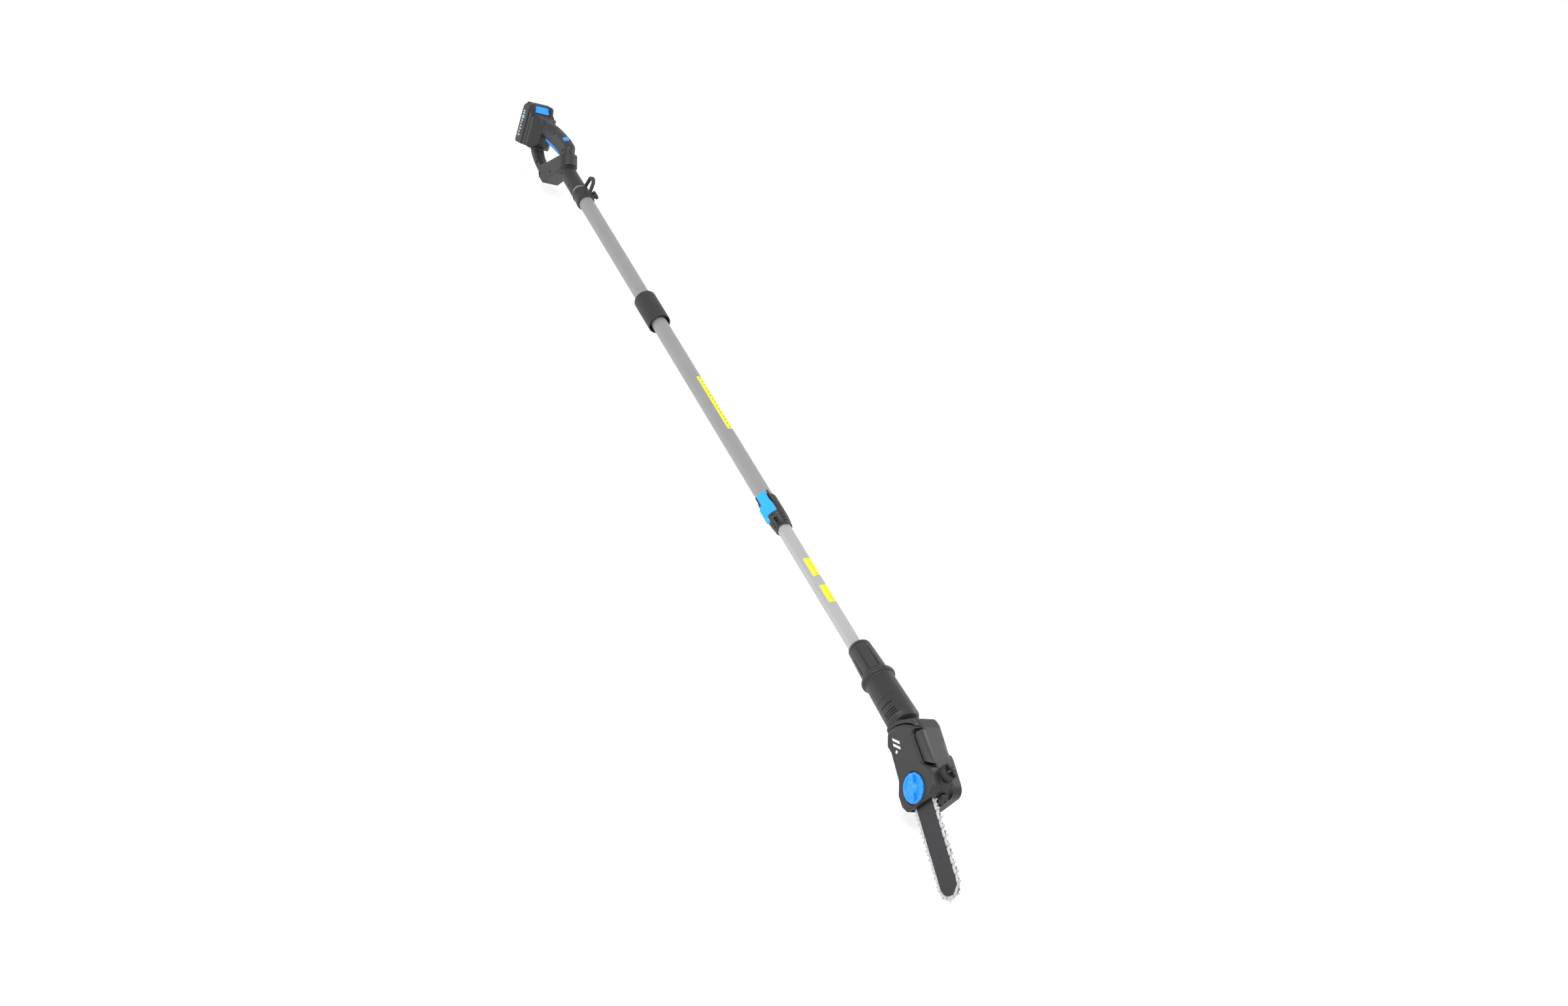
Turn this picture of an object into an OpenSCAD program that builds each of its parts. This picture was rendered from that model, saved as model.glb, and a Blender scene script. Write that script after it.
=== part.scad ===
// Telescoping cordless pole saw, at full size, in millimetres.
// +X runs along the pole towards the saw, +Z is up (lock-off button and oil cap side),
// and the sprocket cover faces -Y. The origin is the middle of the outer tube, on its axis.

/* [Outer tube] */
// Length of the outer tube
outer_tube_length = 1250; // [1000:10:1500]
// Outside diameter of the outer tube
outer_tube_d = 35; // [32:0.5:38]
// Wall of the outer tube
outer_tube_wall = 1.5; // [1:0.1:2]

/* [Inner tube] */
// Length of the octagonal inner tube
inner_tube_length = 670; // [560:10:700]
// Length of inner tube that shows at rest, from the lock to the collar
inner_shown = 353; // [300:1:420]
// Across the wide pair of flats
inner_wide_flats = 26.7; // [24:0.1:27]
// Across the narrow pair of flats
inner_narrow_flats = 28.5; // [26:0.1:29]
// Wall of the inner tube
inner_tube_wall = 1.6; // [1:0.1:2.5]

/* [Pole fittings] */
// Length of the foam mid grip
mid_grip_length = 96; // [70:1:140]
// Outside diameter of the mid grip
mid_grip_d = 51.5; // [46:0.5:58]
// Centre of the mid grip
mid_grip_x = -84; // [-250:1:100]
// Length of the flip lock
lock_length = 95; // [85:1:110]
// Outside diameter of the flip lock's barrel
lock_d = 42; // [40.5:0.5:46]
// Turn of the flip lock about the pole, from -Y towards +Z
lock_turn = 32; // [0:1:60]
// Length of the strap clamp
strap_clamp_length = 44; // [36:1:60]
// Outside diameter of the strap clamp
strap_clamp_d = 42; // [41:0.5:50]

/* [Rear handle] */
// Width of the grip
grip_width = 29; // [28:0.5:36]
// Width of the guard box
guard_width = 44; // [43:0.5:54]
// Outside diameter of the tube socket
socket_d = 40; // [39.5:0.5:46]
// Depth of outer tube held in the socket
socket_depth = 48; // [36:1:60]
// Lean of the battery dock from upright
dock_tilt = 19.3; // [10:0.1:28]
// Width of the battery dock
dock_width = 64; // [62:1:78]
// Wall of the handle shells
handle_wall = 2.6; // [2:0.1:3]

/* [Battery pack] */
// Width of the battery pack
pack_width = 68; // [68:1:84]
// Height of the battery pack along its slide
pack_height = 106; // [103:1:120]
// Depth of the battery pack behind the dock
pack_depth = 53; // [50:0.5:60]
// Diameter of one cell
cell_d = 18.3; // [17:0.1:19]
// Length of one cell
cell_length = 65; // [60:0.5:66]

/* [Saw head] */
// Downward tilt of the saw head from the pole
head_tilt = 18; // [14:0.5:24]
// Length of the coupling collar
collar_length = 82; // [70:1:100]
// Diameter of the coupling collar at its rear end
collar_d = 47; // [46:0.5:52]
// Length of the motor housing in front of its flange
motor_housing_length = 100; // [96:1:120]
// Diameter of the motor housing at its front end
motor_housing_d = 64; // [62:0.5:70]
// Height of the motor housing's axis above the pole's
head_rise = 6; // [0:0.5:7]
// Diameter of the motor can
motor_d = 42; // [36:0.5:46]
// Length of the motor can
motor_length = 58; // [45:1:60]
// Width of the saw head from cover to tank
head_width = 66; // [64:1:76]

/* [Bar and chain] */
// Length from the head's datum to the bar's tip
bar_tip = 352; // [300:1:420]
// Width of the guide bar
bar_width = 46; // [40:0.5:48]
// Thickness of the guide bar
bar_thickness = 4.2; // [3.6:0.1:4.4]
// Number of chain pitches round the bar and sprocket
chain_pitches = 39; // [30:1:48]
// Diameter of the cover knob
knob_d = 57.5; // [50:0.5:60]
// Diameter of the oil cap
oil_cap_d = 33; // [28:0.5:36]

/* [Hidden] */
$fn = 64;

black = [0.24, 0.24, 0.25];
soft_black = [0.17, 0.17, 0.18];
blue = [0.12, 0.62, 1.0];
sky_blue = [0.2, 0.74, 1.0];
steel = [0.7, 0.7, 0.72];
yellow = [1.0, 1.0, 0.15];

run_gap = 0.3;      // air between pieces that move past each other
shaft_gap = 0.05;   // radial running fit of a shaft in its bore
seat_gap = 0.1;     // air between a piece and the seat that holds it
over = 1;           // how far a cutter runs past a face

function arc(c, r, a0, a1, n) =
    [for (i = [0:n]) c + r * [cos(a0 + (a1 - a0) * i / n), sin(a0 + (a1 - a0) * i / n)]];

// Turns a 2D outline drawn as (x, z) into a slab from y0 to y1
module slab(y0, y1) {
    translate([0, y1, 0]) rotate([90, 0, 0]) linear_extrude(y1 - y0) children();
}

// Rod along X from x0 to x1
module rod_x(x0, x1, r) {
    translate([x0, 0, 0]) rotate([0, 90, 0]) cylinder(h = x1 - x0, r = r);
}

// Rod along Y from y0 to y1 at (x, z)
module rod_y(x, z, y0, y1, r) {
    translate([x, y1, z]) rotate([90, 0, 0]) cylinder(h = y1 - y0, r = r);
}

// Block given by its low and high corners
module block(lo, hi) {
    translate(lo) cube(hi - lo);
}

// Everything on one side of the mid plane: side is -1 for -Y and 1 for +Y
module half_space(side, reach) {
    translate([-reach, side < 0 ? -reach : 0, -reach]) cube([2 * reach, reach, 2 * reach]);
}

// ---------------------------------------------------------------- pole
outer_r = outer_tube_d / 2;
outer_bore = outer_r - outer_tube_wall;
tube_front = outer_tube_length / 2;
tube_rear = -outer_tube_length / 2;

module outer_tube() {
    color([0.66, 0.66, 0.67]) difference() {
        rod_x(tube_rear, tube_front, outer_r);
        rod_x(tube_rear - over, tube_front + over, outer_bore);
        rod_y(handle_x - tube_screw_back, 0, -outer_r - over, outer_r + over, screw_r + seat_gap);
    }
}

grip_recess_depth = 22;
grip_recess_wall = 2.6;

module mid_grip() {
    x0 = mid_grip_x - mid_grip_length / 2;
    x1 = mid_grip_x + mid_grip_length / 2;
    color(soft_black) difference() {
        union() {
            rod_x(x0, x1, mid_grip_d / 2);
            for (a = [32, 212]) rotate([a, 0, 0])
                block([x0 + 12, -9, mid_grip_d / 2 - 2], [x1 - 14, 9, mid_grip_d / 2 + 0.4]);
        }
        rod_x(x0 - over, x1 + over, outer_r + shaft_gap);
        rod_x(x1 - grip_recess_depth, x1 + over, mid_grip_d / 2 - grip_recess_wall);
    }
}

label_skin = 0.3;

module outer_label() {
    color(yellow) intersection() {
        difference() {
            rod_x(181, 361, outer_r + label_skin + shaft_gap);
            rod_x(181 - over, 361 + over, outer_r + shaft_gap);
        }
        rotate([-29, 0, 0]) block([181, -13.2, 0], [361, 13.2, 2 * outer_r]);
    }
}

// ---------------------------------------------------------------- flip lock
// The lock's own frame: +Z points out through the lever, +Y along the lever's pin
lock_rear = tube_front - 52;
lock_front = lock_rear + lock_length;
lock_pivot_x = tube_front + 19;
lock_pivot_z = outer_r + 5.8;
lock_pin_r = 2.5;
knuckle_r = 7.4;
cheek_out = 20.6;
pad_half = 2.4;
pad_gap = 0.15;
cam_r = 5;
cam_offset = 1;

module at_lock() {
    rotate([90 - lock_turn, 0, 0]) children();
}

module octagon(wide, narrow) {
    intersection() {
        square(wide, center = true);
        rotate(45) square(narrow, center = true);
    }
}

module octagon_rod(x0, x1, wide, narrow) {
    at_lock() translate([x0, 0, 0]) rotate([0, 90, 0]) linear_extrude(x1 - x0) octagon(wide, narrow);
}

module lock_body() {
    nose_x = tube_front + 2;
    steps = 3;
    step_x = (lock_front - nose_x) / steps;
    color(black) difference() {
        union() {
            rod_x(lock_rear + 6, nose_x, lock_d / 2);
            translate([lock_rear, 0, 0]) rotate([0, 90, 0])
                cylinder(h = 6, r1 = lock_d / 2 - 2, r2 = lock_d / 2);
            for (i = [0:steps - 1]) translate([nose_x + i * step_x, 0, 0]) rotate([0, 90, 0])
                cylinder(h = step_x, r1 = lock_d / 2 - 1.6 - i, r2 = lock_d / 2 - 0.6 - i);
            at_lock() {
                for (y = [[-10.6, -pad_half - 0.9], [pad_half + 0.9, 10.6]]) {
                    rod_y(lock_pivot_x, lock_pivot_z, y[0], y[1], knuckle_r);
                    slab(y[0], y[1]) polygon([[lock_pivot_x - 7, 14], [lock_pivot_x - 7, lock_pivot_z],
                        [lock_pivot_x + 3, lock_pivot_z + 6.4], [lock_front - 3, 16], [lock_front - 3, 14]]);
                }
                for (s = [-1, 1]) slab(s * 14 - 1.5, s * 14 + 1.5)
                    polygon([[lock_rear - 2, 11], [lock_rear - 2, 22], [lock_rear + 25, 22],
                        [lock_rear + 34, 16], [lock_rear + 34, 11]]);
            }
        }
        rod_x(lock_rear - 4, tube_front + seat_gap, outer_r + shaft_gap);
        octagon_rod(tube_front - over, lock_front + over, inner_wide_flats + 2 * run_gap,
            inner_narrow_flats + 2 * run_gap);
        at_lock() {
            rod_y(lock_pivot_x, lock_pivot_z, -cheek_out, cheek_out, lock_pin_r + seat_gap / 2);
            block([lock_pivot_x - 10, -pad_half - seat_gap, 0], [lock_pivot_x + 10, pad_half + seat_gap, 40]);
            block([lock_pivot_x + 9, -0.6, 0], [lock_front + over, 0.6, 40]);
        }
    }
}

module lock_pad() {
    pad_low = inner_wide_flats / 2 + pad_gap;
    pad_high = lock_pivot_z - cam_r - cam_offset - pad_gap;
    color(soft_black) at_lock()
        block([lock_pivot_x - 8, -pad_half, pad_low], [lock_pivot_x + 8, pad_half, pad_high]);
}

module lock_pin() {
    color(steel) at_lock() rod_y(lock_pivot_x, lock_pivot_z, -cheek_out + 0.6, 10.4, lock_pin_r);
}

module lock_lever() {
    low = outer_r + 4.4;
    color(sky_blue) at_lock() difference() {
        union() {
            translate([0, 0, low]) linear_extrude(3.6) polygon([[lock_rear, -11.6], [lock_rear, 9.8],
                [lock_rear + 24, 9.4], [lock_rear + 39, 11.4], [lock_pivot_x - 10.5, 11.4],
                [lock_pivot_x - 10.5, -11.2], [lock_pivot_x, -11.2], [lock_pivot_x, -cheek_out],
                [lock_rear + 37, -cheek_out], [lock_rear + 28, -11.8]]);
            rod_y(lock_pivot_x, lock_pivot_z, -cheek_out, -11.2, 5.4);
            rod_y(lock_pivot_x, lock_pivot_z - cam_offset, -pad_half + 0.1, pad_half - 0.1, cam_r);
            slab(-pad_half + 0.1, pad_half - 0.1) polygon([[lock_pivot_x - 12, low + 0.2],
                [lock_pivot_x - 12, low + 3.5], [lock_pivot_x, lock_pivot_z + 3.4],
                [lock_pivot_x, lock_pivot_z]]);
        }
        rod_y(lock_pivot_x, lock_pivot_z, -cheek_out - over, 20, lock_pin_r + shaft_gap);
    }
}

// ---------------------------------------------------------------- strap clamp
handle_x = tube_rear + socket_depth;
screw_r = 1.6;
clamp_rear = handle_x + 8;
clamp_front = clamp_rear + strap_clamp_length;
clamp_screw_x = clamp_front - 12;
clamp_screw_turn = 42;
clamp_screw_rise = 7.6;
loop_x = (clamp_rear + clamp_front) / 2 + 1;
loop_top = 60;
loop_r = 14.5;
loop_bar = 6.5;

module strap_clamp() {
    r = strap_clamp_d / 2;
    foot = strap_clamp_length / 2 - 3;
    color(black) difference() {
        union() {
            rod_x(clamp_rear, clamp_front, r);
            rod_x(clamp_rear + 7, clamp_front - 7, r + 0.8);
            rotate([-clamp_screw_turn, 0, 0])
                block([clamp_screw_x - 7, -6, r - 3], [clamp_screw_x + 7, 6, r + 12]);
            slab(-4, 4) difference() {
                union() {
                    translate([loop_x, loop_top - loop_r]) circle(loop_r);
                    polygon([[loop_x - foot, r - 3], [loop_x - loop_r, loop_top - loop_r],
                        [loop_x + loop_r, loop_top - loop_r], [loop_x + foot, r - 3]]);
                }
                translate([loop_x, loop_top - loop_r]) circle(loop_r - loop_bar);
                polygon([[loop_x - foot + loop_bar, r + 4.5],
                    [loop_x - loop_r + loop_bar, loop_top - loop_r],
                    [loop_x + loop_r - loop_bar, loop_top - loop_r],
                    [loop_x + foot - loop_bar, r + 4.5]]);
            }
        }
        rod_x(clamp_rear - over, clamp_front + over, outer_r + shaft_gap);
        rotate([-clamp_screw_turn, 0, 0]) {
            block([clamp_rear - over, -0.8, 0], [clamp_front + over, 0.8, r + 20]);
            rod_y(clamp_screw_x, r + clamp_screw_rise, -12, 12, 2 + shaft_gap);
        }
    }
}

module strap_clamp_screw() {
    z = strap_clamp_d / 2 + clamp_screw_rise;
    color(soft_black) rotate([-clamp_screw_turn, 0, 0]) union() {
        rod_y(clamp_screw_x, z, -9, 6.4, 2);
        rod_y(clamp_screw_x, z, 6.4, 12, 4.6);
        rod_y(clamp_screw_x, z, -9.2, -6.4, 3.6);
        slab(7.4, 10.6) polygon([[clamp_screw_x - 6.6, z - 2.5], [clamp_screw_x - 6.6, z + 2.5],
            [clamp_screw_x, z + 1.6], [clamp_screw_x + 6.6, z + 2.5], [clamp_screw_x + 6.6, z - 2.5],
            [clamp_screw_x, z - 1.6]]);
    }
}

// ---------------------------------------------------------------- rear handle
// The handle's outlines are drawn in (x, z), with x counted from the socket's mouth
module at_handle() {
    translate([handle_x, 0, 0]) children();
}

tube_screw_back = 21;     // tube retaining screw, behind the socket's mouth
dock_at = [-284, -11];    // middle of the dock's rear face
dock_front = 30;          // depth of the dock
dock_half = 40;           // half height of the dock
trigger_pivot = [-150, 14];
trigger_half = 5;
lock_off_at = [-145, -4, 50];
screw_spots = [[-266, 9], [-193, 39], [-123, 36], [-212, -55], [-163, -60], [-124, -28],
    [-75, -1], [-tube_screw_back, 0]];
screw_half = [15, 14, 14, 14, 21, 21, 18, outer_r + 4.2];

module ring_outline() {
    polygon([[-268, 34], [-246, 39.5], [-226, 45], [-205, 49.5], [-174, 54], [-142, 56.8], [-124, 57],
        [-115, 55], [-106, 49], [-98, 41], [-84, 16], [-140, -62], [-193, -69], [-222, -66.5],
        [-250, -61], [-277, -51], [-296, -44], [-284, -8]]);
}

module finger_outline() {
    polygon([[-269, 4], [-227, 9.5], [-182, 17.5], [-147, 20.5], [-136, 15], [-176, -41], [-190, -46.5],
        [-212, -48.5], [-228, -46.5], [-246, -40], [-262, -30]]);
}

module guard_outline() {
    polygon([[-160, -68], [-172, -62], [-181, -47], [-153, -18], [-120, 21], [-100, 43], [-96, 44],
        [-79, 30], [-78, 27], [-89, -1], [-135, -68]]);
}

module at_dock() {
    translate([handle_x + dock_at[0], 0, dock_at[1]]) rotate([0, -dock_tilt, 0]) children();
}

// Handle as one solid, before it is hollowed and split
module handle_solid() {
    at_handle() {
        for (k = [0:3]) slab(-grip_width / 2 + 2.3 * k, grip_width / 2 - 2.3 * k) difference() {
            offset(delta = (k - 3) * (4 - k) * 0.55) ring_outline();
            offset(delta = (3 - k) * 0.8) finger_outline();
        }
        intersection() {
            slab(-guard_width / 2, guard_width / 2) guard_outline();
            translate([-88, 0, 36]) rotate([0, -49, 0]) union() {
                block([-160, -guard_width / 2, -60], [-guard_width / 2, guard_width / 2, 60]);
                translate([-guard_width / 2, 0, -60]) cylinder(h = 120, r = guard_width / 2);
            }
        }
        rod_x(-100, 0, socket_d / 2);
    }
    at_dock() hull() {
        block([0, -dock_width / 2, -dock_half + 4], [12, dock_width / 2, dock_half - 4]);
        block([0, -dock_width / 2 + 5, -dock_half], [18, dock_width / 2 - 5, dock_half]);
        block([0, -dock_width / 2 + 10, -dock_half + 8], [dock_front, dock_width / 2 - 10, dock_half - 3]);
        block([0, -grip_width / 2 - 0.6, -22], [dock_front + 8, grip_width / 2 + 0.6, 24]);
    }
}

// Room inside the handle for the tube, switch, trigger, board and dock parts
module handle_hollow() {
    w = grip_width / 2 - handle_wall;
    g = guard_width / 2 - handle_wall;
    at_handle() {
        rod_x(-socket_depth - seat_gap, over, outer_r + shaft_gap);
        rod_x(-104, -socket_depth + over, outer_r - 2.2);
        slab(-w, w) polygon([[-236, 15], [-236, 38], [-174, 49], [-146, 50], [-124, 50], [-112, 44],
            [-100, 34], [-110, 20], [-124, 26], [-150, 25], [-182, 22]]);
        slab(-g, g) polygon([[-158, -60], [-164, -52], [-124, -4], [-110, -4], [-100, -9], [-138, -60]]);
        slab(-trigger_half - run_gap, trigger_half + run_gap) polygon([[-240, -6], [-240, 30],
            [-144, 30], [-144, 4]]);
        translate(lock_off_at) block([-8.3, -8.3, -9], [8.3, 8.3, 12]);
    }
    at_dock() {
        block([-60, -50, -60], [0, 50, 60]);
        block([-over, -25.4, -dock_half + 6], [16.4, 25.4, dock_half + over]);
        block([15, -17, -23], [26, 17, 7.5]);
    }
}

module handle_holes() {
    at_handle() for (i = [0:len(screw_spots) - 1]) {
        s = screw_spots[i];
        rod_y(s[0], s[1], -40, 40, screw_r + seat_gap);
        rod_y(s[0], s[1], -40, -screw_half[i] + 4, 3.1);
    }
}

// Tubes inside the shells that the screws close up
module handle_bosses() {
    at_handle() for (i = [0:len(screw_spots) - 2])
        rod_y(screw_spots[i][0], screw_spots[i][1], -screw_half[i] + 1.2, screw_half[i] - 1.2, 4.2);
}

module handle_shell(side) {
    difference() {
        intersection() {
            union() {
                difference() {
                    handle_solid();
                    handle_hollow();
                }
                handle_bosses();
            }
            translate([handle_x - 200, 0, 0]) half_space(side, 400);
        }
        handle_holes();
    }
}

module handle_left_shell() {
    color(black) handle_shell(-1);
}

module handle_right_shell() {
    color(black) handle_shell(1);
}

module handle_screws() {
    color(steel) at_handle() for (i = [0:len(screw_spots) - 1]) {
        s = screw_spots[i];
        union() {
            rod_y(s[0], s[1], -screw_half[i] + 4, screw_half[i] - 5, screw_r);
            difference() {
                rod_y(s[0], s[1], -screw_half[i] + 1.6, -screw_half[i] + 3.9, 2.9);
                rod_y(s[0], s[1], -screw_half[i] - over, -screw_half[i] + 2.8, 1.2);
            }
            rod_y(s[0], s[1], -screw_half[i] + 3.8, -screw_half[i] + 4.2, screw_r);
        }
    }
}

module trigger() {
    color(blue) at_handle() difference() {
        slab(-trigger_half, trigger_half) polygon(concat([[-237, 15], [-237, 1], [-234, -3.5],
            [-226, -3], [-205, -0.5], [-180, 3.5], [-160, 6.5]],
            arc(trigger_pivot, 5.4, -110, 90, 8), [[-182, 21], [-205, 18]]));
        rod_y(trigger_pivot[0], trigger_pivot[1], -20, 20, 1.5 + shaft_gap);
    }
}

module trigger_pin() {
    color(steel) at_handle()
        rod_y(trigger_pivot[0], trigger_pivot[1], -trigger_half - run_gap, trigger_half + run_gap, 1.5);
}

module trigger_switch() {
    color(soft_black) at_handle() difference() {
        block([-187, -8, 31], [-153, 8, 43]);
        block([-188, -9, 36], [-185, 9, 38]);
    }
}

module lock_off_button() {
    color(blue) at_handle() translate(lock_off_at) union() {
        rotate([24, 0, 0]) block([-7, -5, -2], [7, 6, 5.6]);
        block([-7.6, -7.2, -4], [7.6, 7.2, -1]);
    }
}

module controller_board() {
    color([0.1, 0.4, 0.2]) at_handle() translate([-140, 0, -32]) rotate([0, -49, 0]) union() {
        block([-20, -16, -0.8], [20, 16, 0.8]);
        for (x = [-13, 0, 12]) block([x - 4, -8, 0.7], [x + 4, 8, 5]);
    }
}

module dock_terminal_block() {
    color(soft_black) at_dock() difference() {
        union() {
            block([15.2, -16, -22], [25, 16, 7]);
            block([7, -14, -20], [15.3, 14, 6]);
            for (y = blade_spots) block([1, y - 0.4, -18], [7.1, y + 0.4, 4]);
        }
        block([20, -13, -19], [26, 13, 4]);
    }
}

// ---------------------------------------------------------------- battery pack
blade_spots = [-10, -4, 4, 10];
// The dock's frame again: +X points into the dock, +Z is the way the pack pulls off
pack_low = -40.5;
pack_high = pack_low + pack_height;
pack_split = -18;
rail_half = 23.8;
button_base = 44;

module pack_outline(front) {
    polygon([[-pack_depth + 2, pack_low], [front, pack_low], [front, pack_high - 3],
        [-pack_depth + 7, pack_high], [-pack_depth, pack_high - 9], [-pack_depth, pack_low + 3]]);
}

module battery_case() {
    w = pack_width / 2;
    color(black) at_dock() difference() {
        union() {
            slab(-w + 5, w - 5) pack_outline(pack_split);
            slab(-w, w) polygon([[-pack_depth + 3, pack_low + 1], [-pack_depth, pack_low + 4],
                [-pack_depth, pack_high - 16], [-pack_depth + 6, pack_high - 7],
                [pack_split - 3, pack_high - 7], [pack_split, pack_high - 12],
                [pack_split, pack_low + 3], [pack_split - 3, pack_low + 1]]);
        }
        block([-pack_depth + 2.2, -w + 1.4, pack_low + 2.4], [pack_split + over, w - 1.4, pack_high - 10]);
        block([-pack_depth + 5, -w - over, pack_low + 14], [-pack_depth + 24, -w + 0.6, pack_high - 18]);
        block([pack_split - 7, -20.6, button_base + 6], [pack_split + over, 20.6, pack_high + over]);
    }
}

module battery_lid() {
    w = pack_width / 2 - 2;
    back = pack_split;
    color(black) at_dock() difference() {
        union() {
            slab(-w, w) polygon([[back, pack_low + 2], [-run_gap - 1.2, pack_low + 2],
                [-run_gap - 1.2, dock_half + 0.8], [-12, button_base + 2], [-16, pack_high - 5],
                [back, pack_high - 4]]);
            slab(-rail_half, rail_half) polygon([[-3, -dock_half + 8], [5.6, -dock_half + 8],
                [5.6, dock_half - 3], [-3, dock_half + 3]]);
            for (s = [-1, 1]) slab(s * (w - 8.5) - 3.5, s * (w - 8.5) + 3.5) polygon([[back, pack_low + 30],
                [-8, dock_half + 2], [-8, pack_high - 14], [-15, pack_high - 1], [back, pack_high - 1]]);
        }
        block([back - over, -w + 2.4, pack_low + 5], [-6, w - 2.4, pack_high - 28]);
        slab(-20.6, 20.6) polygon([[-19, button_base - 1], [-4, button_base - 1], [-14, pack_high],
            [-30, pack_high], [-28, pack_high - 5], [-25, pack_high - 5]]);
        for (y = blade_spots) block([-7, y - 1.4, -dock_half], [6, y + 1.4, 34]);
    }
}

module battery_cells() {
    pitch = cell_d + 0.3;
    color([0.2, 0.5, 0.5]) at_dock() for (i = [-2:2])
        rod_y((-pack_depth + 2.2 + pack_split) / 2 - 2, (pack_low + pack_high) / 2 - 3.8 + i * pitch,
            -cell_length / 2, cell_length / 2, cell_d / 2);
}

module battery_board() {
    color([0.1, 0.4, 0.2]) at_dock() union() {
        block([-15.5, -26, -30], [-13.9, 26, 30]);
        for (y = blade_spots) block([-14, y - 1, -14], [-6.2, y + 1, 2]);
    }
}

module battery_gauge() {
    w = pack_width / 2;
    color(soft_black) at_dock()
        block([-pack_depth + 5.2, -w + 0.05, pack_low + 14.2],
            [-pack_depth + 23.8, -w + 0.6, pack_high - 18.2]);
}

module battery_release_button() {
    color(blue) at_dock() slab(-20, 20) polygon([[-14, button_base], [-9.5, button_base],
        [-9.5, button_base + 2], [-17.4, pack_high - 7.5], [-19, pack_high - 5.6], [-21, pack_high - 5.6]]);
}

// ---------------------------------------------------------------- telescoping front half
lock_mouth = lock_front;
collar_rear = lock_mouth + inner_shown;
collar_front = collar_rear + collar_length;
flange_thick = 12;
housing_rear = collar_front + 1;
head_x = collar_front + flange_thick + 1 + motor_housing_length;
inner_front = collar_front - 4;
inner_rear = inner_front - inner_tube_length;

module inner_tube() {
    color([0.8, 0.8, 0.81]) difference() {
        octagon_rod(inner_rear, inner_front, inner_wide_flats, inner_narrow_flats);
        octagon_rod(inner_rear - over, inner_front + over, inner_wide_flats - 2 * inner_tube_wall,
            inner_narrow_flats - 2 * inner_tube_wall);
    }
}

// Sliding plug that keeps the inner tube central in the outer tube
module inner_tube_plug() {
    color(soft_black) difference() {
        union() {
            rod_x(inner_rear - 6, inner_rear - 0.05, outer_bore - shaft_gap - 0.03);
            octagon_rod(inner_rear - 1, inner_rear + 24,
                inner_wide_flats - 2 * inner_tube_wall - seat_gap,
                inner_narrow_flats - 2 * inner_tube_wall - seat_gap);
        }
        rod_x(inner_rear - 7, inner_rear + 25, 8);
    }
}

// Labels on the two upper flats of the inner tube
module reach_label(x0, x1) {
    gap = 0.05;
    color(yellow) at_lock() difference() {
        intersection() {
            translate([x0, 0, 0]) rotate([0, 90, 0]) linear_extrude(x1 - x0)
                octagon(inner_wide_flats + 0.5, inner_narrow_flats + 0.5);
            block([x0, 3.2, 3.2], [x1, 16, 16]);
        }
        translate([x0 - over, 0, 0]) rotate([0, 90, 0]) linear_extrude(x1 - x0 + 2 * over)
            octagon(inner_wide_flats + 2 * gap, inner_narrow_flats + 2 * gap);
    }
}

module reach_label_rear() {
    reach_label(collar_rear - 249, collar_rear - 198);
}

module reach_label_front() {
    reach_label(collar_rear - 170, collar_rear - 122);
}

collar_front_d = collar_d + 7;
spigot_r = 22;
spigot_back = 34;
collar_bore = inner_narrow_flats / 2 + head_rise + 1;

module coupling_collar() {
    color(black) translate([0, 0, head_rise]) difference() {
        union() {
            translate([collar_rear, 0, 0]) rotate([0, 90, 0])
                cylinder(h = 5, r1 = collar_d / 2 - 2, r2 = collar_d / 2);
            translate([collar_rear + 5, 0, 0]) rotate([0, 90, 0])
                cylinder(h = collar_length - 5, d1 = collar_d, d2 = collar_front_d);
        }
        rod_x(collar_rear - over, collar_front + over, collar_bore);
        rod_x(collar_front - spigot_back - 1, collar_front + over, spigot_r + shaft_gap);
        for (a = [0:45:315]) rotate([a + lock_turn, 0, 0])
            block([collar_rear + 14, -1.6, collar_d / 2 + 0.2], [collar_front - 8, 1.6, 40]);
    }
}

// ---------------------------------------------------------------- saw head
// Head frame: x along the bar, z up across it, origin where the pole's axis enters the head
head_half = head_width / 2;
bar_mid = 18;
motor_front_wall = 14;

module at_head() {
    translate([head_x, 0, 0]) rotate([0, head_tilt, 0]) children();
}

output_at = [bar_mid / tan(head_tilt), bar_mid];
motor_housing_rear_d = motor_housing_d - 5;
flange_r = motor_housing_d / 2 + 2.5;
plate_y = -15.6;          // seat of the guide bar on the left shell
shell_face_y = -14.2;     // face of the left shell round that seat
bar_back_y = plate_y - 0.05;
bar_front_y = bar_back_y - bar_thickness;
chain_y = (bar_back_y + bar_front_y) / 2;
cover_wall = 2.6;
knob_at = [145, bar_mid];
cap_at = [144, 73];

module body_outline() {
    polygon([[14, -14], [14, 30], [22, 56], [30, 61], [45, 66], [66, 68], [112, 72.6], [160, 72.6],
        [171, 68.5], [176, 58], [178, 52], [178, 30], [178, -16], [168, -30], [137, -32], [110, -26],
        [57, -24], [24, -22]]);
}

module tank_outline() {
    polygon(concat([[96, 60], [104, 71], [112, 72.6]], arc([164, 53], 19.6, 90, 0, 6),
        [[183.6, 0], [176, -18], [160, -27], [110, -22]]));
}

module cover_outline() {
    polygon([[17, -9], [18, 14], [25, 36], [34, 52], [45, 64.5], [50, 55.5], [57, 53], [113, 57],
        [122, 65], [130, 72], [146, 73.6], [166, 72], [172, 66], [178, 56], [176, 20], [174, -22],
        [160, -31], [137, -32], [113, -20], [57, -18], [41, -23], [24, -15]]);
}

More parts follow.
